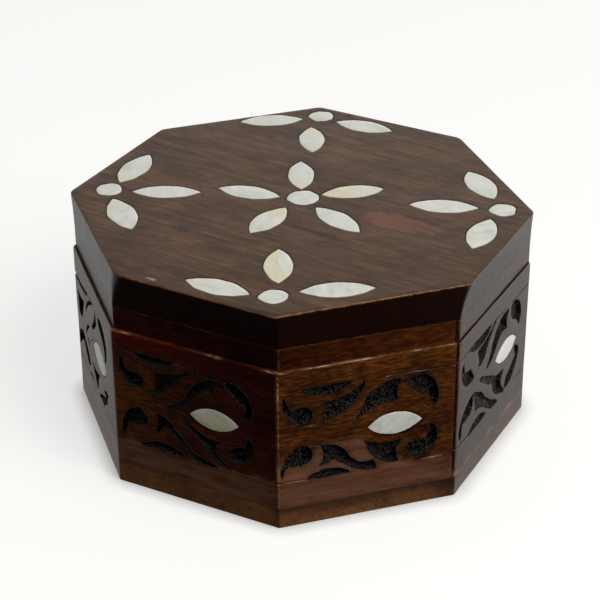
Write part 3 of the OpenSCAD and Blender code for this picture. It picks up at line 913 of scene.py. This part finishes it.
def carving_of(side, index):
    """The leaves, grooves, shell pocket and faded edge of one side, in its flat coordinates."""
    drawing = DRAWINGS[side]
    sure = side in SEEN
    bolder = BOLDER.get(side, 0.25)
    up = np.array([0, FIELD_Z])
    leaves = []
    for k, corners in enumerate(drawing["leaves"]):
        leaves.append(strayed(corners, 1000 + 40 * index + k, sure, bolder) + up)
    grooves = []
    for k, (start, end, bow) in enumerate(drawing["grooves"]):
        path = np.array(bowed(start, end, bow, 0.45) + [np.array(end, float)])
        grooves.append(path + up + 0.06 * ripple(path, 6, 1500 + k)[:, None] * np.array([0, 1]))
    x, z, length, width = drawing["petal"]
    if not sure:
        x, z = x + rng.uniform(-0.6, 0.6), z + rng.uniform(-0.5, 0.5)
    shell_shape = hand_cut(petal(length, width), 0.12, 6, 60 + index) + np.array([x, z + FIELD_Z])
    return leaves, grooves, shell_shape, drawing["faded"]


# How light and how red each strip is at its left and its right end, and how worn its top edge and
# its left corner are.
WALL_LOOKS = {
    "front_left": ((-0.1, -0.1), (0.1, 0.1), (0.35, 0.2)),
    "front": ((0.08, -0.1), (0.3, 0.8), (0.1, 0.1)),
    "front_right": ((0.04, 0.04), (0.05, 0.15), (0.8, 1.0)),
    "right": ((-0.3, -0.3), (0.0, 0.0), (0.0, 0.3)),
}
# Where paler bare-wood patches sit along each side's top edge: partly worn chips, partly painted
# highlights.
NICKS_AND_GLINTS = {"front": (-28.0, -24.5, 7.2, 26.5), "front_right": (-28.0,)}
RIM_LOOKS = {
    "front_left": ((-0.1, -0.1), (0.4, 0.4), (0.1, 0.2)),
    "front": ((-0.16, -0.24), (0.8, 1.0), (0.12, 0.1)),
    "front_right": ((-0.14, 0.0), (0.5, 0.15), (0.1, 0.5)),
    "right": ((-0.2, -0.2), (0.0, 0.0), (0.0, 0.2)),
}


def look_of(looks, side):
    if side in looks:
        return looks[side]
    return (rng.uniform(-0.1, 0.05), rng.uniform(-0.1, 0.05)), (0.2, 0.4), (0.3, 0.3)


def across_side(ends, u, seed):
    return np.interp(u, (-24, 24), ends) + 0.04 * ripple(u[:, None], 30, seed)


walls, rims, side_petal_shapes = {}, {}, {}
for i, side in enumerate(SIDES):
    carving = carving_of(side, i)
    side_petal_shapes[side] = carving[2]
    tones, reds, rubbing = look_of(WALL_LOOKS, side)
    verts, faces, marks, u = panel(
        i, BOX_W, wall_lo[2], wall_hi[2], WALL_T, WALL_LAP, 0.0, 300 + 20 * i, 0.3, rubbing, carving,
        NICKS_AND_GLINTS.get(side, ())
    )
    marks["tone"] = across_side(tones, u, 330 + i)
    upper = step_up(verts[:, 2], FIELD_Z + 12, wall_hi[2] - 5) if side == "front" else 0
    marks["red"] = np.clip(np.maximum(across_side(reds, u, 360 + i), upper), 0, 1)
    name = "wall_" + side
    walls[side] = build(name + "_carved", verts, faces, marks, "base", [name], wall_wood)

    tones, reds, rubbing = look_of(RIM_LOOKS, side)
    verts, faces, marks, u = panel(
        i, LID_W, rim_lo[2], rim_hi[2], RIM_T, RIM_LAP, LID_Y, 500 + 20 * i, 0.02, rubbing
    )
    marks["tone"] = across_side(tones, u, 530 + i)
    marks["red"] = np.clip(across_side(reds, u, 560 + i), 0, 1)
    name = "rim_" + side
    rims[side] = build(name + "_strip", verts, faces, marks, "lid", [name], rim_wood)

for up, strips in ((-1, walls), (1, rims)):
    bevel, room = wedge(up), hinge_room(up)
    cut_away(strips["back"], [bevel] + room)
    for side in ("back_left", "back_right"):
        cut_away(strips[side], [bevel])
    for cutter in [bevel] + room:
        bpy.data.objects.remove(cutter)


# ---------------------------------------------------------------- shell
def shell_piece(name, shape, place, body, tone, seed):
    """A pillowed, hand-cut shell piece. place turns flat points and a height into box coordinates."""
    middle = shape.mean(0)

    def scaled(share):
        return (shape - middle) * share + middle

    ring = scaled(0.95)
    (x0, y0), (x1, y1) = shape.min(0), shape.max(0)
    fill = grid(x0, x1, y0, y1, 0.9, seed)
    fill = fill[inside_distance(fill, ring) > 0.4]
    flat, faces = triangulated(ring, fill)
    pillow = step_up(inside_distance(flat, scaled(0.97)), 0, 2.5)
    rise = 0.02 + 0.05 * pillow + 0.015 * ripple(flat, 5, seed)
    rows = [(scaled(0.985), -0.01), (shape, -0.07), (shape, -0.5), (shape, -SHELL_T)]
    top = place(flat, rise)
    verts, faces = solid(top, faces, [place(r, np.full(len(r), h)) for r, h in rows])
    n, m = len(flat), len(ring)
    flat_all = np.vstack([flat] + [r for r, _ in rows])
    heights = np.concatenate([rise] + [np.full(m, h) for _, h in rows])
    edge = np.concatenate([np.zeros(n), np.full(m, 0.35), np.full(m, 1.0), np.full(2 * m, 1.0)])
    turn = random.Random(seed).uniform(0, math.pi)
    spread = placed(flat_all - middle, turn) + seed * 13.7
    marks = {
        "grain": np.column_stack([spread, heights]),
        "edge": edge,
        "tone": np.full(len(verts), tone),
    }
    return build(name + "_shell", verts, faces, marks, body, [name], shell, 40)


def on_side(index):
    """How a shell piece is placed on one wall: flat points are along the wall and up it."""
    def place(points, height):
        at = np.stack([points[:, 0], -BOX_W / 2 - height, points[:, 1]], 1)
        return turned(at, index)
    return place


def on_lid(points, height):
    return np.stack([points[:, 0], points[:, 1], lid_hi[2] + height], 1)


for i, side in enumerate(SIDES):
    warm = 0.03 if side == "front" else -0.1
    shell_piece("side_petal_" + side, side_petal_shapes[side], on_side(i), "base", warm, 700 + i)

# The lid's flowers as the inlayer set them by eye: each disc's middle and width, then each petal's
# outer tip, inner tip, width and warmth of colour.
FLOWERS = {
    "centre": ((-0.5, 3.7), 10.2, -0.1, [
        ((20.1, 21.6), (3.9, 8.3), 9.0, 0.1), ((-14.1, 28.0), (-3.8, 9.1), 8.8, -0.02),
        ((-28.9, -2.4), (-7.5, 0.9), 8.8, -0.12), ((-3.9, -26.1), (-2.1, -5.4), 9.0, -0.06),
        ((26.6, -10.1), (6.5, -0.8), 8.6, -0.1),
    ]),
    "front": ((22.1, -59.1), 8.6, -0.12, [
        ((46.7, -40.4), (27.5, -52.9), 9.0, -0.1), ((9.4, -31.7), (19.4, -51.2), 9.0, 0.12),
        ((-6.4, -61.8), (15.1, -61.1), 8.8, -0.02),
    ]),
    "right": ((61.0, 24.7), 8.5, -0.1, [
        ((39.8, 46.3), (55.3, 31.0), 9.2, -0.08), ((32.4, 14.9), (53.4, 22.4), 9.2, -0.12),
        ((62.5, -4.2), (60.1, 16.9), 9.0, -0.02),
    ]),
    "back": ((-25.0, 65.1), 8.6, -0.12, [
        ((-48.4, 47.8), (-29.8, 60.1), 9.0, -0.1), ((-13.9, 36.5), (-23.8, 55.0), 8.8, 0.06),
        ((3.0, 64.7), (-18.1, 63.3), 9.0, -0.1),
    ]),
    "left": ((-60.4, -19.8), 8.6, -0.1, [
        ((-38.6, -40.9), (-55.5, -25.1), 9.2, -0.08), ((-32.4, -7.9), (-52.8, -17.6), 8.8, -0.12),
        ((-62.7, 9.4), (-60.1, -13.5), 9.2, -0.06),
    ]),
}


def petal_between(outer, inner, width, seed):
    outer, inner = np.array(outer), np.array(inner)
    way = outer - inner
    shape = hand_cut(petal(np.linalg.norm(way), width), 0.14, 6, seed)
    return placed(shape, math.atan2(way[1], way[0]), (outer + inner) / 2)


lid_shapes, warmth = {}, {}
for c, (flower, (middle, across, warm, petals)) in enumerate(FLOWERS.items()):
    prefix, suffix = ("centre", "") if flower == "centre" else ("corner", flower)
    name = "_".join(filter(None, (prefix, "disc", suffix)))
    lid_shapes[name] = hand_cut(round_outline(across), 0.25, 4, 40 + c) + np.array(middle)
    warmth[name] = warm
    for k, (outer, inner, width, warm) in enumerate(petals):
        name = "_".join(filter(None, (prefix, "petal", suffix, str(k + 1))))
        lid_shapes[name] = petal_between(outer, inner, width, 50 + 5 * c + k)
        warmth[name] = warm

for k, (name, shape) in enumerate(lid_shapes.items()):
    shell_piece(name, shape, on_lid, "lid", warmth[name], 800 + k)


# ---------------------------------------------------------------- lid board, base board and pad
def octagon_ring(across, centre_y, radii, strays=None, per_side=30):
    """Points round an octagon, anticlockwise from the front side's left corner.

    radii is how far from each corner the rounding starts, and strays moves each corner.
    """
    r = across / 2 / math.cos(TURN / 2)
    angles = [-math.pi / 2 - TURN / 2 + TURN * k for k in range(8)]
    corners = np.array([(r * math.cos(a), centre_y + r * math.sin(a)) for a in angles])
    if strays is not None:
        corners = corners + np.array(strays)
    radii = np.broadcast_to(radii, 8)
    points = []
    for k in range(8):
        before, at, after = corners[k - 1], corners[k], corners[(k + 1) % 8]
        start = at + (before - at) / np.linalg.norm(before - at) * radii[k]
        end = at + (after - at) / np.linalg.norm(after - at) * radii[k]
        for t in np.linspace(0, 1, 7):
            points.append((1 - t) ** 2 * start + 2 * t * (1 - t) * at + t * t * end)
        ahead = (k + 1) % 8
        home = at - corners[ahead]
        leave = corners[ahead] + home / np.linalg.norm(home) * radii[ahead]
        points += [end + (leave - end) * t for t in np.linspace(0, 1, per_side + 1)[1:-1]]
    return np.array(points)


# How far each corner of the lid's top strays from a true octagon, and how far it is rounded off,
# from the front side's left corner. Both come from sanding by hand and fade out downwards.
LID_STRAYS = np.array([
    (1.35, 0.2), (-0.75, -1.2), (1.8, 3.05), (1.2, -1.35),
    (-2.45, 0.6), (-0.45, 2.6), (-0.8, 0.45), (-1.8, 1.35),
])
LID_ROUNDS = np.array([3.2, 0.7, 1.2, 1.0, 1.6, 1.4, 1.2, 1.4])
LID_TOP, LID_BOTTOM = lid_hi[2], lid_lo[2]
UNDERSIDE_STEP = 5.0


def lid_ring(height, inset):
    """The lid board's outline at a height: its corners flare and round off towards the top."""
    t = (height - LID_BOTTOM) / (LID_TOP - LID_BOTTOM)
    ring = octagon_ring(LID_W, LID_Y, 0.35 + LID_ROUNDS * t**1.6, LID_STRAYS * t**1.6, 34)
    within = np.column_stack([ring, np.full(len(ring), height * 1.5)])
    return grown(ring, -inset) * (1 + 0.0008 * ripple(within, 24, 5))[:, None]


def make_lid_board():
    """The lid board: shell pockets in its top, a slightly wavy face and rounded, rubbed edges."""
    ring = lid_ring(LID_TOP, 0.8)
    loops = []
    for shape in lid_shapes.values():
        loops += [grown(shape, 0.22), grown(shape, 0.17)]
    fill = grid(-LID_W / 2 - 3, LID_W / 2 + 3, LID_Y - LID_W / 2 - 3, LID_Y + LID_W / 2 + 3, 1.5, 901)
    keep = inside_distance(fill, ring) > 0.7
    for shape in loops[::2]:
        keep &= inside_distance(fill, shape) < -0.7
    around = [grown(shape, gap) for shape in loops[::2] for gap in (0.3, 0.7)]
    within = [(s - s.mean(0)) * k + s.mean(0) for s in loops[1::2] for k in (0.85, 0.5)]
    points = thinned(around + within + [fill[keep]], 0.2)
    flat, faces = triangulated(ring, points, loops)
    depth, cut, halo = np.zeros(len(flat)), np.zeros(len(flat)), np.zeros(len(flat))
    for shape in loops[::2]:
        d = inside_distance(flat, shape)
        depth = np.where(d > 0.02, SHELL_T + 0.05, np.maximum(depth, 0.06 * step_up(d, -0.4, 0)))
        cut = np.where(d > 0.02, 1.0, cut)
        halo = np.maximum(halo, np.exp(np.minimum(d, 0) / 0.3))
    depth += (0.05 * ripple(flat, 26, 902) + 0.02 * ripple(flat, 9, 904) + 0.03) * (depth < 1)
    top = np.column_stack([flat, LID_TOP - depth])
    profile = [  # depth below the top, inset from the edge, how worn
        (0.06, 0.4, 0), (0.12, 0.18, 0.7), (0.24, 0.06, 1), (0.45, 0, 0.6),
        (0.8, 0, 0), (1.6, 0, 0), (2.8, 0, 0), (4.2, 0, 0), (6, 0, 0), (8, 0, 0), (10, 0, 0),
        (11.3, 0, 0), (11.44, 0.01, 0.9), (11.5, 0.04, 0.9), (11.5, 1.0, 0), (11.5, 1.2, 0),
    ]
    rows, worn = [], [np.zeros(len(flat))]
    for down, inset, wear in profile:
        row = lid_ring(LID_TOP - down, inset)
        rows.append(np.column_stack([row, np.full(len(row), LID_TOP - down)]))
        facing = step_up((row[:, 0] - row[:, 1]) * math.sqrt(0.5), LID_W / 2 - 4, LID_W / 2 - 1)
        frontal = step_up(-row[:, 1], LID_W / 2 - 6, LID_W / 2 - 2)
        exposed = np.maximum(np.maximum(facing, 0.55 * frontal), 0.12)
        worn.append(wear * exposed * np.clip(0.75 + 0.6 * ripple(row, 11, 903), 0, 1))
    verts, faces = solid(top, faces, rows, UNDERSIDE_STEP)
    zeros = np.zeros(len(verts) - len(flat))
    worn.append(np.zeros(len(verts) - sum(len(part) for part in worn)))
    order = np.arange(len(verts))
    side = order >= len(flat) + 3 * len(ring)
    under = order >= len(flat) + (len(profile) - 1) * len(ring)
    unmarked = under[:, None] * [300.0, 0, 0]  # the underside's grain is far from the marks on the top
    marks = {
        "grain": verts @ np.array([[1, 0.07, 0], [-0.07, 1, 0], [0, 0, 1.0]]) + unmarked,
        "carve": np.concatenate([cut, zeros]),
        "halo": np.concatenate([halo, zeros]),
        "wear": np.concatenate(worn),
        "faded": side * np.where(under, 0.35, 1.0),
    }
    build("lid_board_inlaid", verts, faces, marks, "lid", ["lid_board"], lid_wood, 38)


def ring_stack(rings, heights):
    return [np.column_stack([r, np.full(len(r), h)]) for r, h in zip(rings, heights)]


BRAD_X, HEAD_BORE, BRAD_BORE = 15.0, 1.22, 0.62


def make_base_board():
    """The base: a step inside the walls, a seam under them and a worn lower edge, bored for the brads."""
    edge = octagon_ring(BOX_W, 0, 0.3)
    ring = octagon_ring(BOX_W - 2 * WALL_T - 0.2, 0, 0.3)
    fill = grid(-60, 60, -60, 60, 6, 911)
    flat, faces = triangulated(ring, fill[inside_distance(fill, ring) > 3])
    top = np.column_stack([flat, np.full(len(flat), base_hi[2])])
    lip = wall_lo[2]
    profile = [  # ring, height, how worn, how dark the seam
        (ring, lip + 0.02, 0, 1), (grown(edge, -0.35), lip - 0.01, 0, 1),
        (grown(edge, -0.06), lip - 0.04, 0.2, 0.6), (edge, lip - 0.16, 0, 0.2),
        (edge, lip - 0.5, 0, 0), (edge, lip * 0.6, 0, 0), (edge, lip * 0.3, 0, 0),
        (edge, 0.5, 0.1, 0), (grown(edge, -0.03), 0.16, 0.6, 0), (grown(edge, -0.14), 0.03, 0.5, 0),
        (grown(edge, -0.35), 0.0, 0.1, 0),
    ]
    rings, heights = [row[0] for row in profile], [row[1] for row in profile]
    verts, faces = solid(top, faces, ring_stack(rings, heights), UNDERSIDE_STEP)

    def by_row(column):
        rows = [np.full(len(ring), row[column]) for row in profile]
        inner = len(verts) - len(flat) - len(ring) * len(profile)
        return np.concatenate([np.zeros(len(flat))] + rows + [np.zeros(inner)])

    drift = 1.0 * ripple(verts, 40, 915)
    on_front_right = step_up((verts[:, 0] - verts[:, 1]) * math.sqrt(0.5), BOX_W / 2 - 3, BOX_W / 2 - 0.6)
    marks = {
        "grain": verts @ np.array([[0.7, 0.7, 0], [-0.7, 0.7, 0], [0, 0, 1.0]]) + 200.0,
        "wear": by_row(2) * np.clip(0.8 + 0.5 * ripple(verts, 12, 913), 0, 1),
        "seam": by_row(3),
        "faded": step_up(verts[:, 2] + drift, 3.2, 5.4) * on_front_right,
        "tone": np.interp(verts[:, 0], (-30, 30, 62, 69), (0.04, 0.04, 0.0, -0.35)),
    }
    replaced = ["base_board"]
    board = build("base_board_worn", verts, faces, marks, "base", replaced, base_wood, 38)
    reach = BOX_W / 2 - WALL_T / 2
    nails = []
    for i in range(len(SIDES)):
        for x in (-BRAD_X, BRAD_X):
            a = TURN * i
            at = (x * math.cos(a) + reach * math.sin(a), x * math.sin(a) - reach * math.cos(a))
            nails.append(rod(HEAD_BORE, (*at, -2.0), (*at, 0.72), 24))
            nails.append(rod(BRAD_BORE, (*at, 0.5), (*at, 12.0), 16))
    cut_away(board, nails)
    for nail in nails:
        bpy.data.objects.remove(nail)


def make_pad():
    """The lining: card covered with velvet, its edges rounded and its middle a little full."""
    across, thick = pad_hi[0] - pad_lo[0], pad_hi[2] - pad_lo[2]
    edge = octagon_ring(across, 0, 1.6, None, 40)
    ring = grown(edge, -1.2)
    fill = grid(-across / 2, across / 2, -across / 2, across / 2, 2.0, 921)
    flat, faces = triangulated(ring, fill[inside_distance(fill, ring) > 1])
    d = inside_distance(flat, edge)
    full = thick * (0.82 + 0.18 * step_up(d, 1, 14))
    pull = 0.07 * ripple(flat, 18, 922) + 0.05 * ripple(flat, 7, 923) * step_up(d, 16, 3)
    top = np.column_stack([flat, pad_lo[2] + np.minimum(full + pull - 0.05, thick)])
    profile = [(-0.5, 0.66), (-0.12, 0.42), (0, 0.2), (0, 0.03), (-0.6, 0)]  # outwards, share of height
    heights = [pad_lo[2] + thick * share for _, share in profile]
    verts, faces = solid(top, faces, ring_stack([grown(edge, out) for out, _ in profile], heights))
    marks = {"grain": verts.copy()}
    pad = build("velvet_pad", verts, faces, marks, "base", ["base_pad"], velvet, 60)


make_lid_board()
make_base_board()
make_pad()

# ---------------------------------------------------------------- CAD nodes that keep their shape
for name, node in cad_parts.items():
    metal = brass if "leaf" in name else steel if "pin" in name or "brads" in name else None
    if metal:
        node.data.materials.clear()
        node.data.materials.append(metal)
        soften = node.modifiers.new("worn_edges", "BEVEL")
        soften.width, soften.segments, soften.limit_method = 0.05 * MM, 2, "ANGLE"
        soften.angle_limit = math.radians(50)


# ---------------------------------------------------------------- studio
LEFT_PAPER, RIGHT_PAPER = 0.92, 1.5  # brightness of the paper behind, at the left and at the right
OVERHEAD, DIM_SIDE = 0.42, 0.01
# The floor's last number is how far from the box its painted contact shadow reaches.
FLOOR_SIZE, FLOOR_SHADE, FLOOR_GLOW, FLOOR_SHADOW_REACH = 4.0, (0.42, 0.42, 0.415), 1.62, 0.006
DOME_RADIUS, DOME_SHADE = 3.9, (0.97, 0.97, 0.96)
CAMERA_ANGLES = (27.62, 29.33, -0.33)  # azimuth, elevation and roll in degrees
CAMERA_TARGET, CAMERA_DISTANCE, CAMERA_SHIFT, LENS = 0.0327, 0.6233, (0.00007, 0.00515), 111.3


def stage_material(name, shade, glow, shadow_reach=0.0):
    """Plain paper that also glows; within the shadow reach of the box its glow darkens, a painted contact
    shadow.
    """
    p = Paint(name)
    p.set(Base_Color=(*shade, 1), Roughness=1.0, Emission_Color=(*shade, 1), Emission_Strength=glow)
    p.surface.inputs["Specular IOR Level"].default_value = 0.0
    # Painted contact shadow: occlusion darkens the glow's colour close to the box.
    if shadow_reach:
        near = p.add("ShaderNodeAmbientOcclusion")
        p.plug(near, "Distance", shadow_reach)
        p.plug(near, "Color", (*shade, 1))
        p.plug(p.surface, "Emission Color", near.outputs["Color"])
    return p.material


def make_floor():
    """The pale table, which the lacquer does not mirror."""
    def draw(b):
        bmesh.ops.create_grid(b, x_segments=1, y_segments=1, size=FLOOR_SIZE)

    floor = as_object("floor", draw)
    floor.data.materials.append(stage_material("floor_paper", FLOOR_SHADE, FLOOR_GLOW, FLOOR_SHADOW_REACH))
    floor.visible_glossy = False
    floor.visible_diffuse = False


def make_backdrop():
    """A pale dome that only the camera sees."""
    def draw(b):
        bmesh.ops.create_uvsphere(b, u_segments=32, v_segments=16, radius=DOME_RADIUS)

    dome = as_object("backdrop", draw)
    dome.data.materials.append(stage_material("backdrop_paper", DOME_SHADE, 1.0))
    for flag in ("visible_diffuse", "visible_glossy", "visible_transmission", "visible_shadow"):
        setattr(dome, flag, False)


def make_world():
    """Paper that is brightest at the horizon behind the box, and a dark room on the camera's side."""
    world = bpy.data.worlds.new("studio")
    bpy.context.scene.world = world
    world.use_nodes = True
    tree = world.node_tree
    nodes, links = tree.nodes, tree.links
    nodes.clear()

    def mapped(value, low, high, to_low, to_high):
        node = nodes.new("ShaderNodeMapRange")
        node.interpolation_type = "SMOOTHSTEP"
        links.new(value, node.inputs["Value"])
        limits = {"From Min": low, "From Max": high, "To Min": to_low, "To Max": to_high}
        for key, number in limits.items():
            node.inputs[key].default_value = number
        return node.outputs[0]

    def towards(x, y):
        node = nodes.new("ShaderNodeVectorMath")
        node.operation = "DOT_PRODUCT"
        links.new(flat.outputs[0], node.inputs[0])
        node.inputs[1].default_value = (x, y, 0)
        return node.outputs["Value"]

    def joined(operation, a, b):
        node = nodes.new("ShaderNodeMath")
        node.operation = operation
        links.new(a, node.inputs[0])
        links.new(b, node.inputs[1])
        return node.outputs[0]

    place = nodes.new("ShaderNodeTexCoord").outputs["Generated"]
    level = nodes.new("ShaderNodeVectorMath")
    level.operation = "MULTIPLY"
    level.inputs[1].default_value = (1, 1, 0)
    links.new(place, level.inputs[0])
    flat = nodes.new("ShaderNodeVectorMath")
    flat.operation = "NORMALIZE"
    links.new(level.outputs[0], flat.inputs[0])
    split = nodes.new("ShaderNodeSeparateXYZ")
    links.new(place, split.inputs[0])
    height = split.outputs["Z"]

    back = mapped(towards(-0.309, 0.951), -0.6, 0.45, DIM_SIDE, 1.0)
    rightward = mapped(towards(1.0, 0.0), -0.85, -0.2, LEFT_PAPER, RIGHT_PAPER)
    below, above = mapped(height, -0.62, -0.2, 0.35, 1.0), mapped(height, 0.1, 0.56, 1.0, 0.05)
    horizon = joined("MULTIPLY", below, above)
    paper = joined("MULTIPLY", joined("MULTIPLY", back, rightward), horizon)
    overhead = mapped(height, 0.3, 0.95, 0.0, OVERHEAD)
    sky = nodes.new("ShaderNodeBackground")
    sky.inputs["Color"].default_value = (1.0, 0.985, 0.96, 1)
    out = nodes.new("ShaderNodeOutputWorld")
    links.new(joined("MAXIMUM", paper, overhead), sky.inputs["Strength"])
    links.new(sky.outputs[0], out.inputs["Surface"])


def make_light(name, azimuth, elevation, distance, size, power, tint=(1, 1, 1)):
    """An area light that faces the box, azimuth from +X towards +Y."""
    data = bpy.data.lights.new(name, "AREA")
    data.shape, data.size, data.energy, data.color = "DISK", size, power, tint
    light = bpy.data.objects.new(name, data)
    bpy.context.scene.collection.objects.link(light)
    a, e = math.radians(azimuth), math.radians(elevation)
    at = Vector((math.cos(a) * math.cos(e), math.sin(a) * math.cos(e), math.sin(e))) * distance
    light.matrix_world = Matrix.Translation(at) @ at.to_track_quat("Z", "Y").to_matrix().to_4x4()
    return light


def make_camera():
    """The view of the photograph: a long lens, a little to the right of the front and from above."""
    azimuth, elevation, roll = (math.radians(angle) for angle in CAMERA_ANGLES)
    level = math.cos(elevation)
    back = Vector((math.sin(azimuth) * level, -math.cos(azimuth) * level, math.sin(elevation)))
    right = Vector((math.cos(azimuth), math.sin(azimuth), 0))
    up = back.cross(right)
    rightward, upward = CAMERA_SHIFT
    place = Vector((0, 0, CAMERA_TARGET)) + back * CAMERA_DISTANCE + right * rightward + up * upward
    tilted_right = right * math.cos(roll) + up * math.sin(roll)
    tilted_up = up * math.cos(roll) - right * math.sin(roll)
    data = bpy.data.cameras.new("camera")
    data.lens, data.sensor_width = LENS, 36
    data.clip_start, data.clip_end = 0.01, 20
    camera = bpy.data.objects.new("camera", data)
    bpy.context.scene.collection.objects.link(camera)
    axes = Matrix((tilted_right, tilted_up, back)).transposed().to_4x4()
    camera.matrix_world = Matrix.Translation(place) @ axes
    bpy.context.scene.camera = camera


make_camera()
make_floor()
make_backdrop()
make_world()
make_light("key", -15, 46, 1.6, 1.2, 18.0, (1, 0.985, 0.955))
bpy.context.scene.view_settings.view_transform = "Standard"
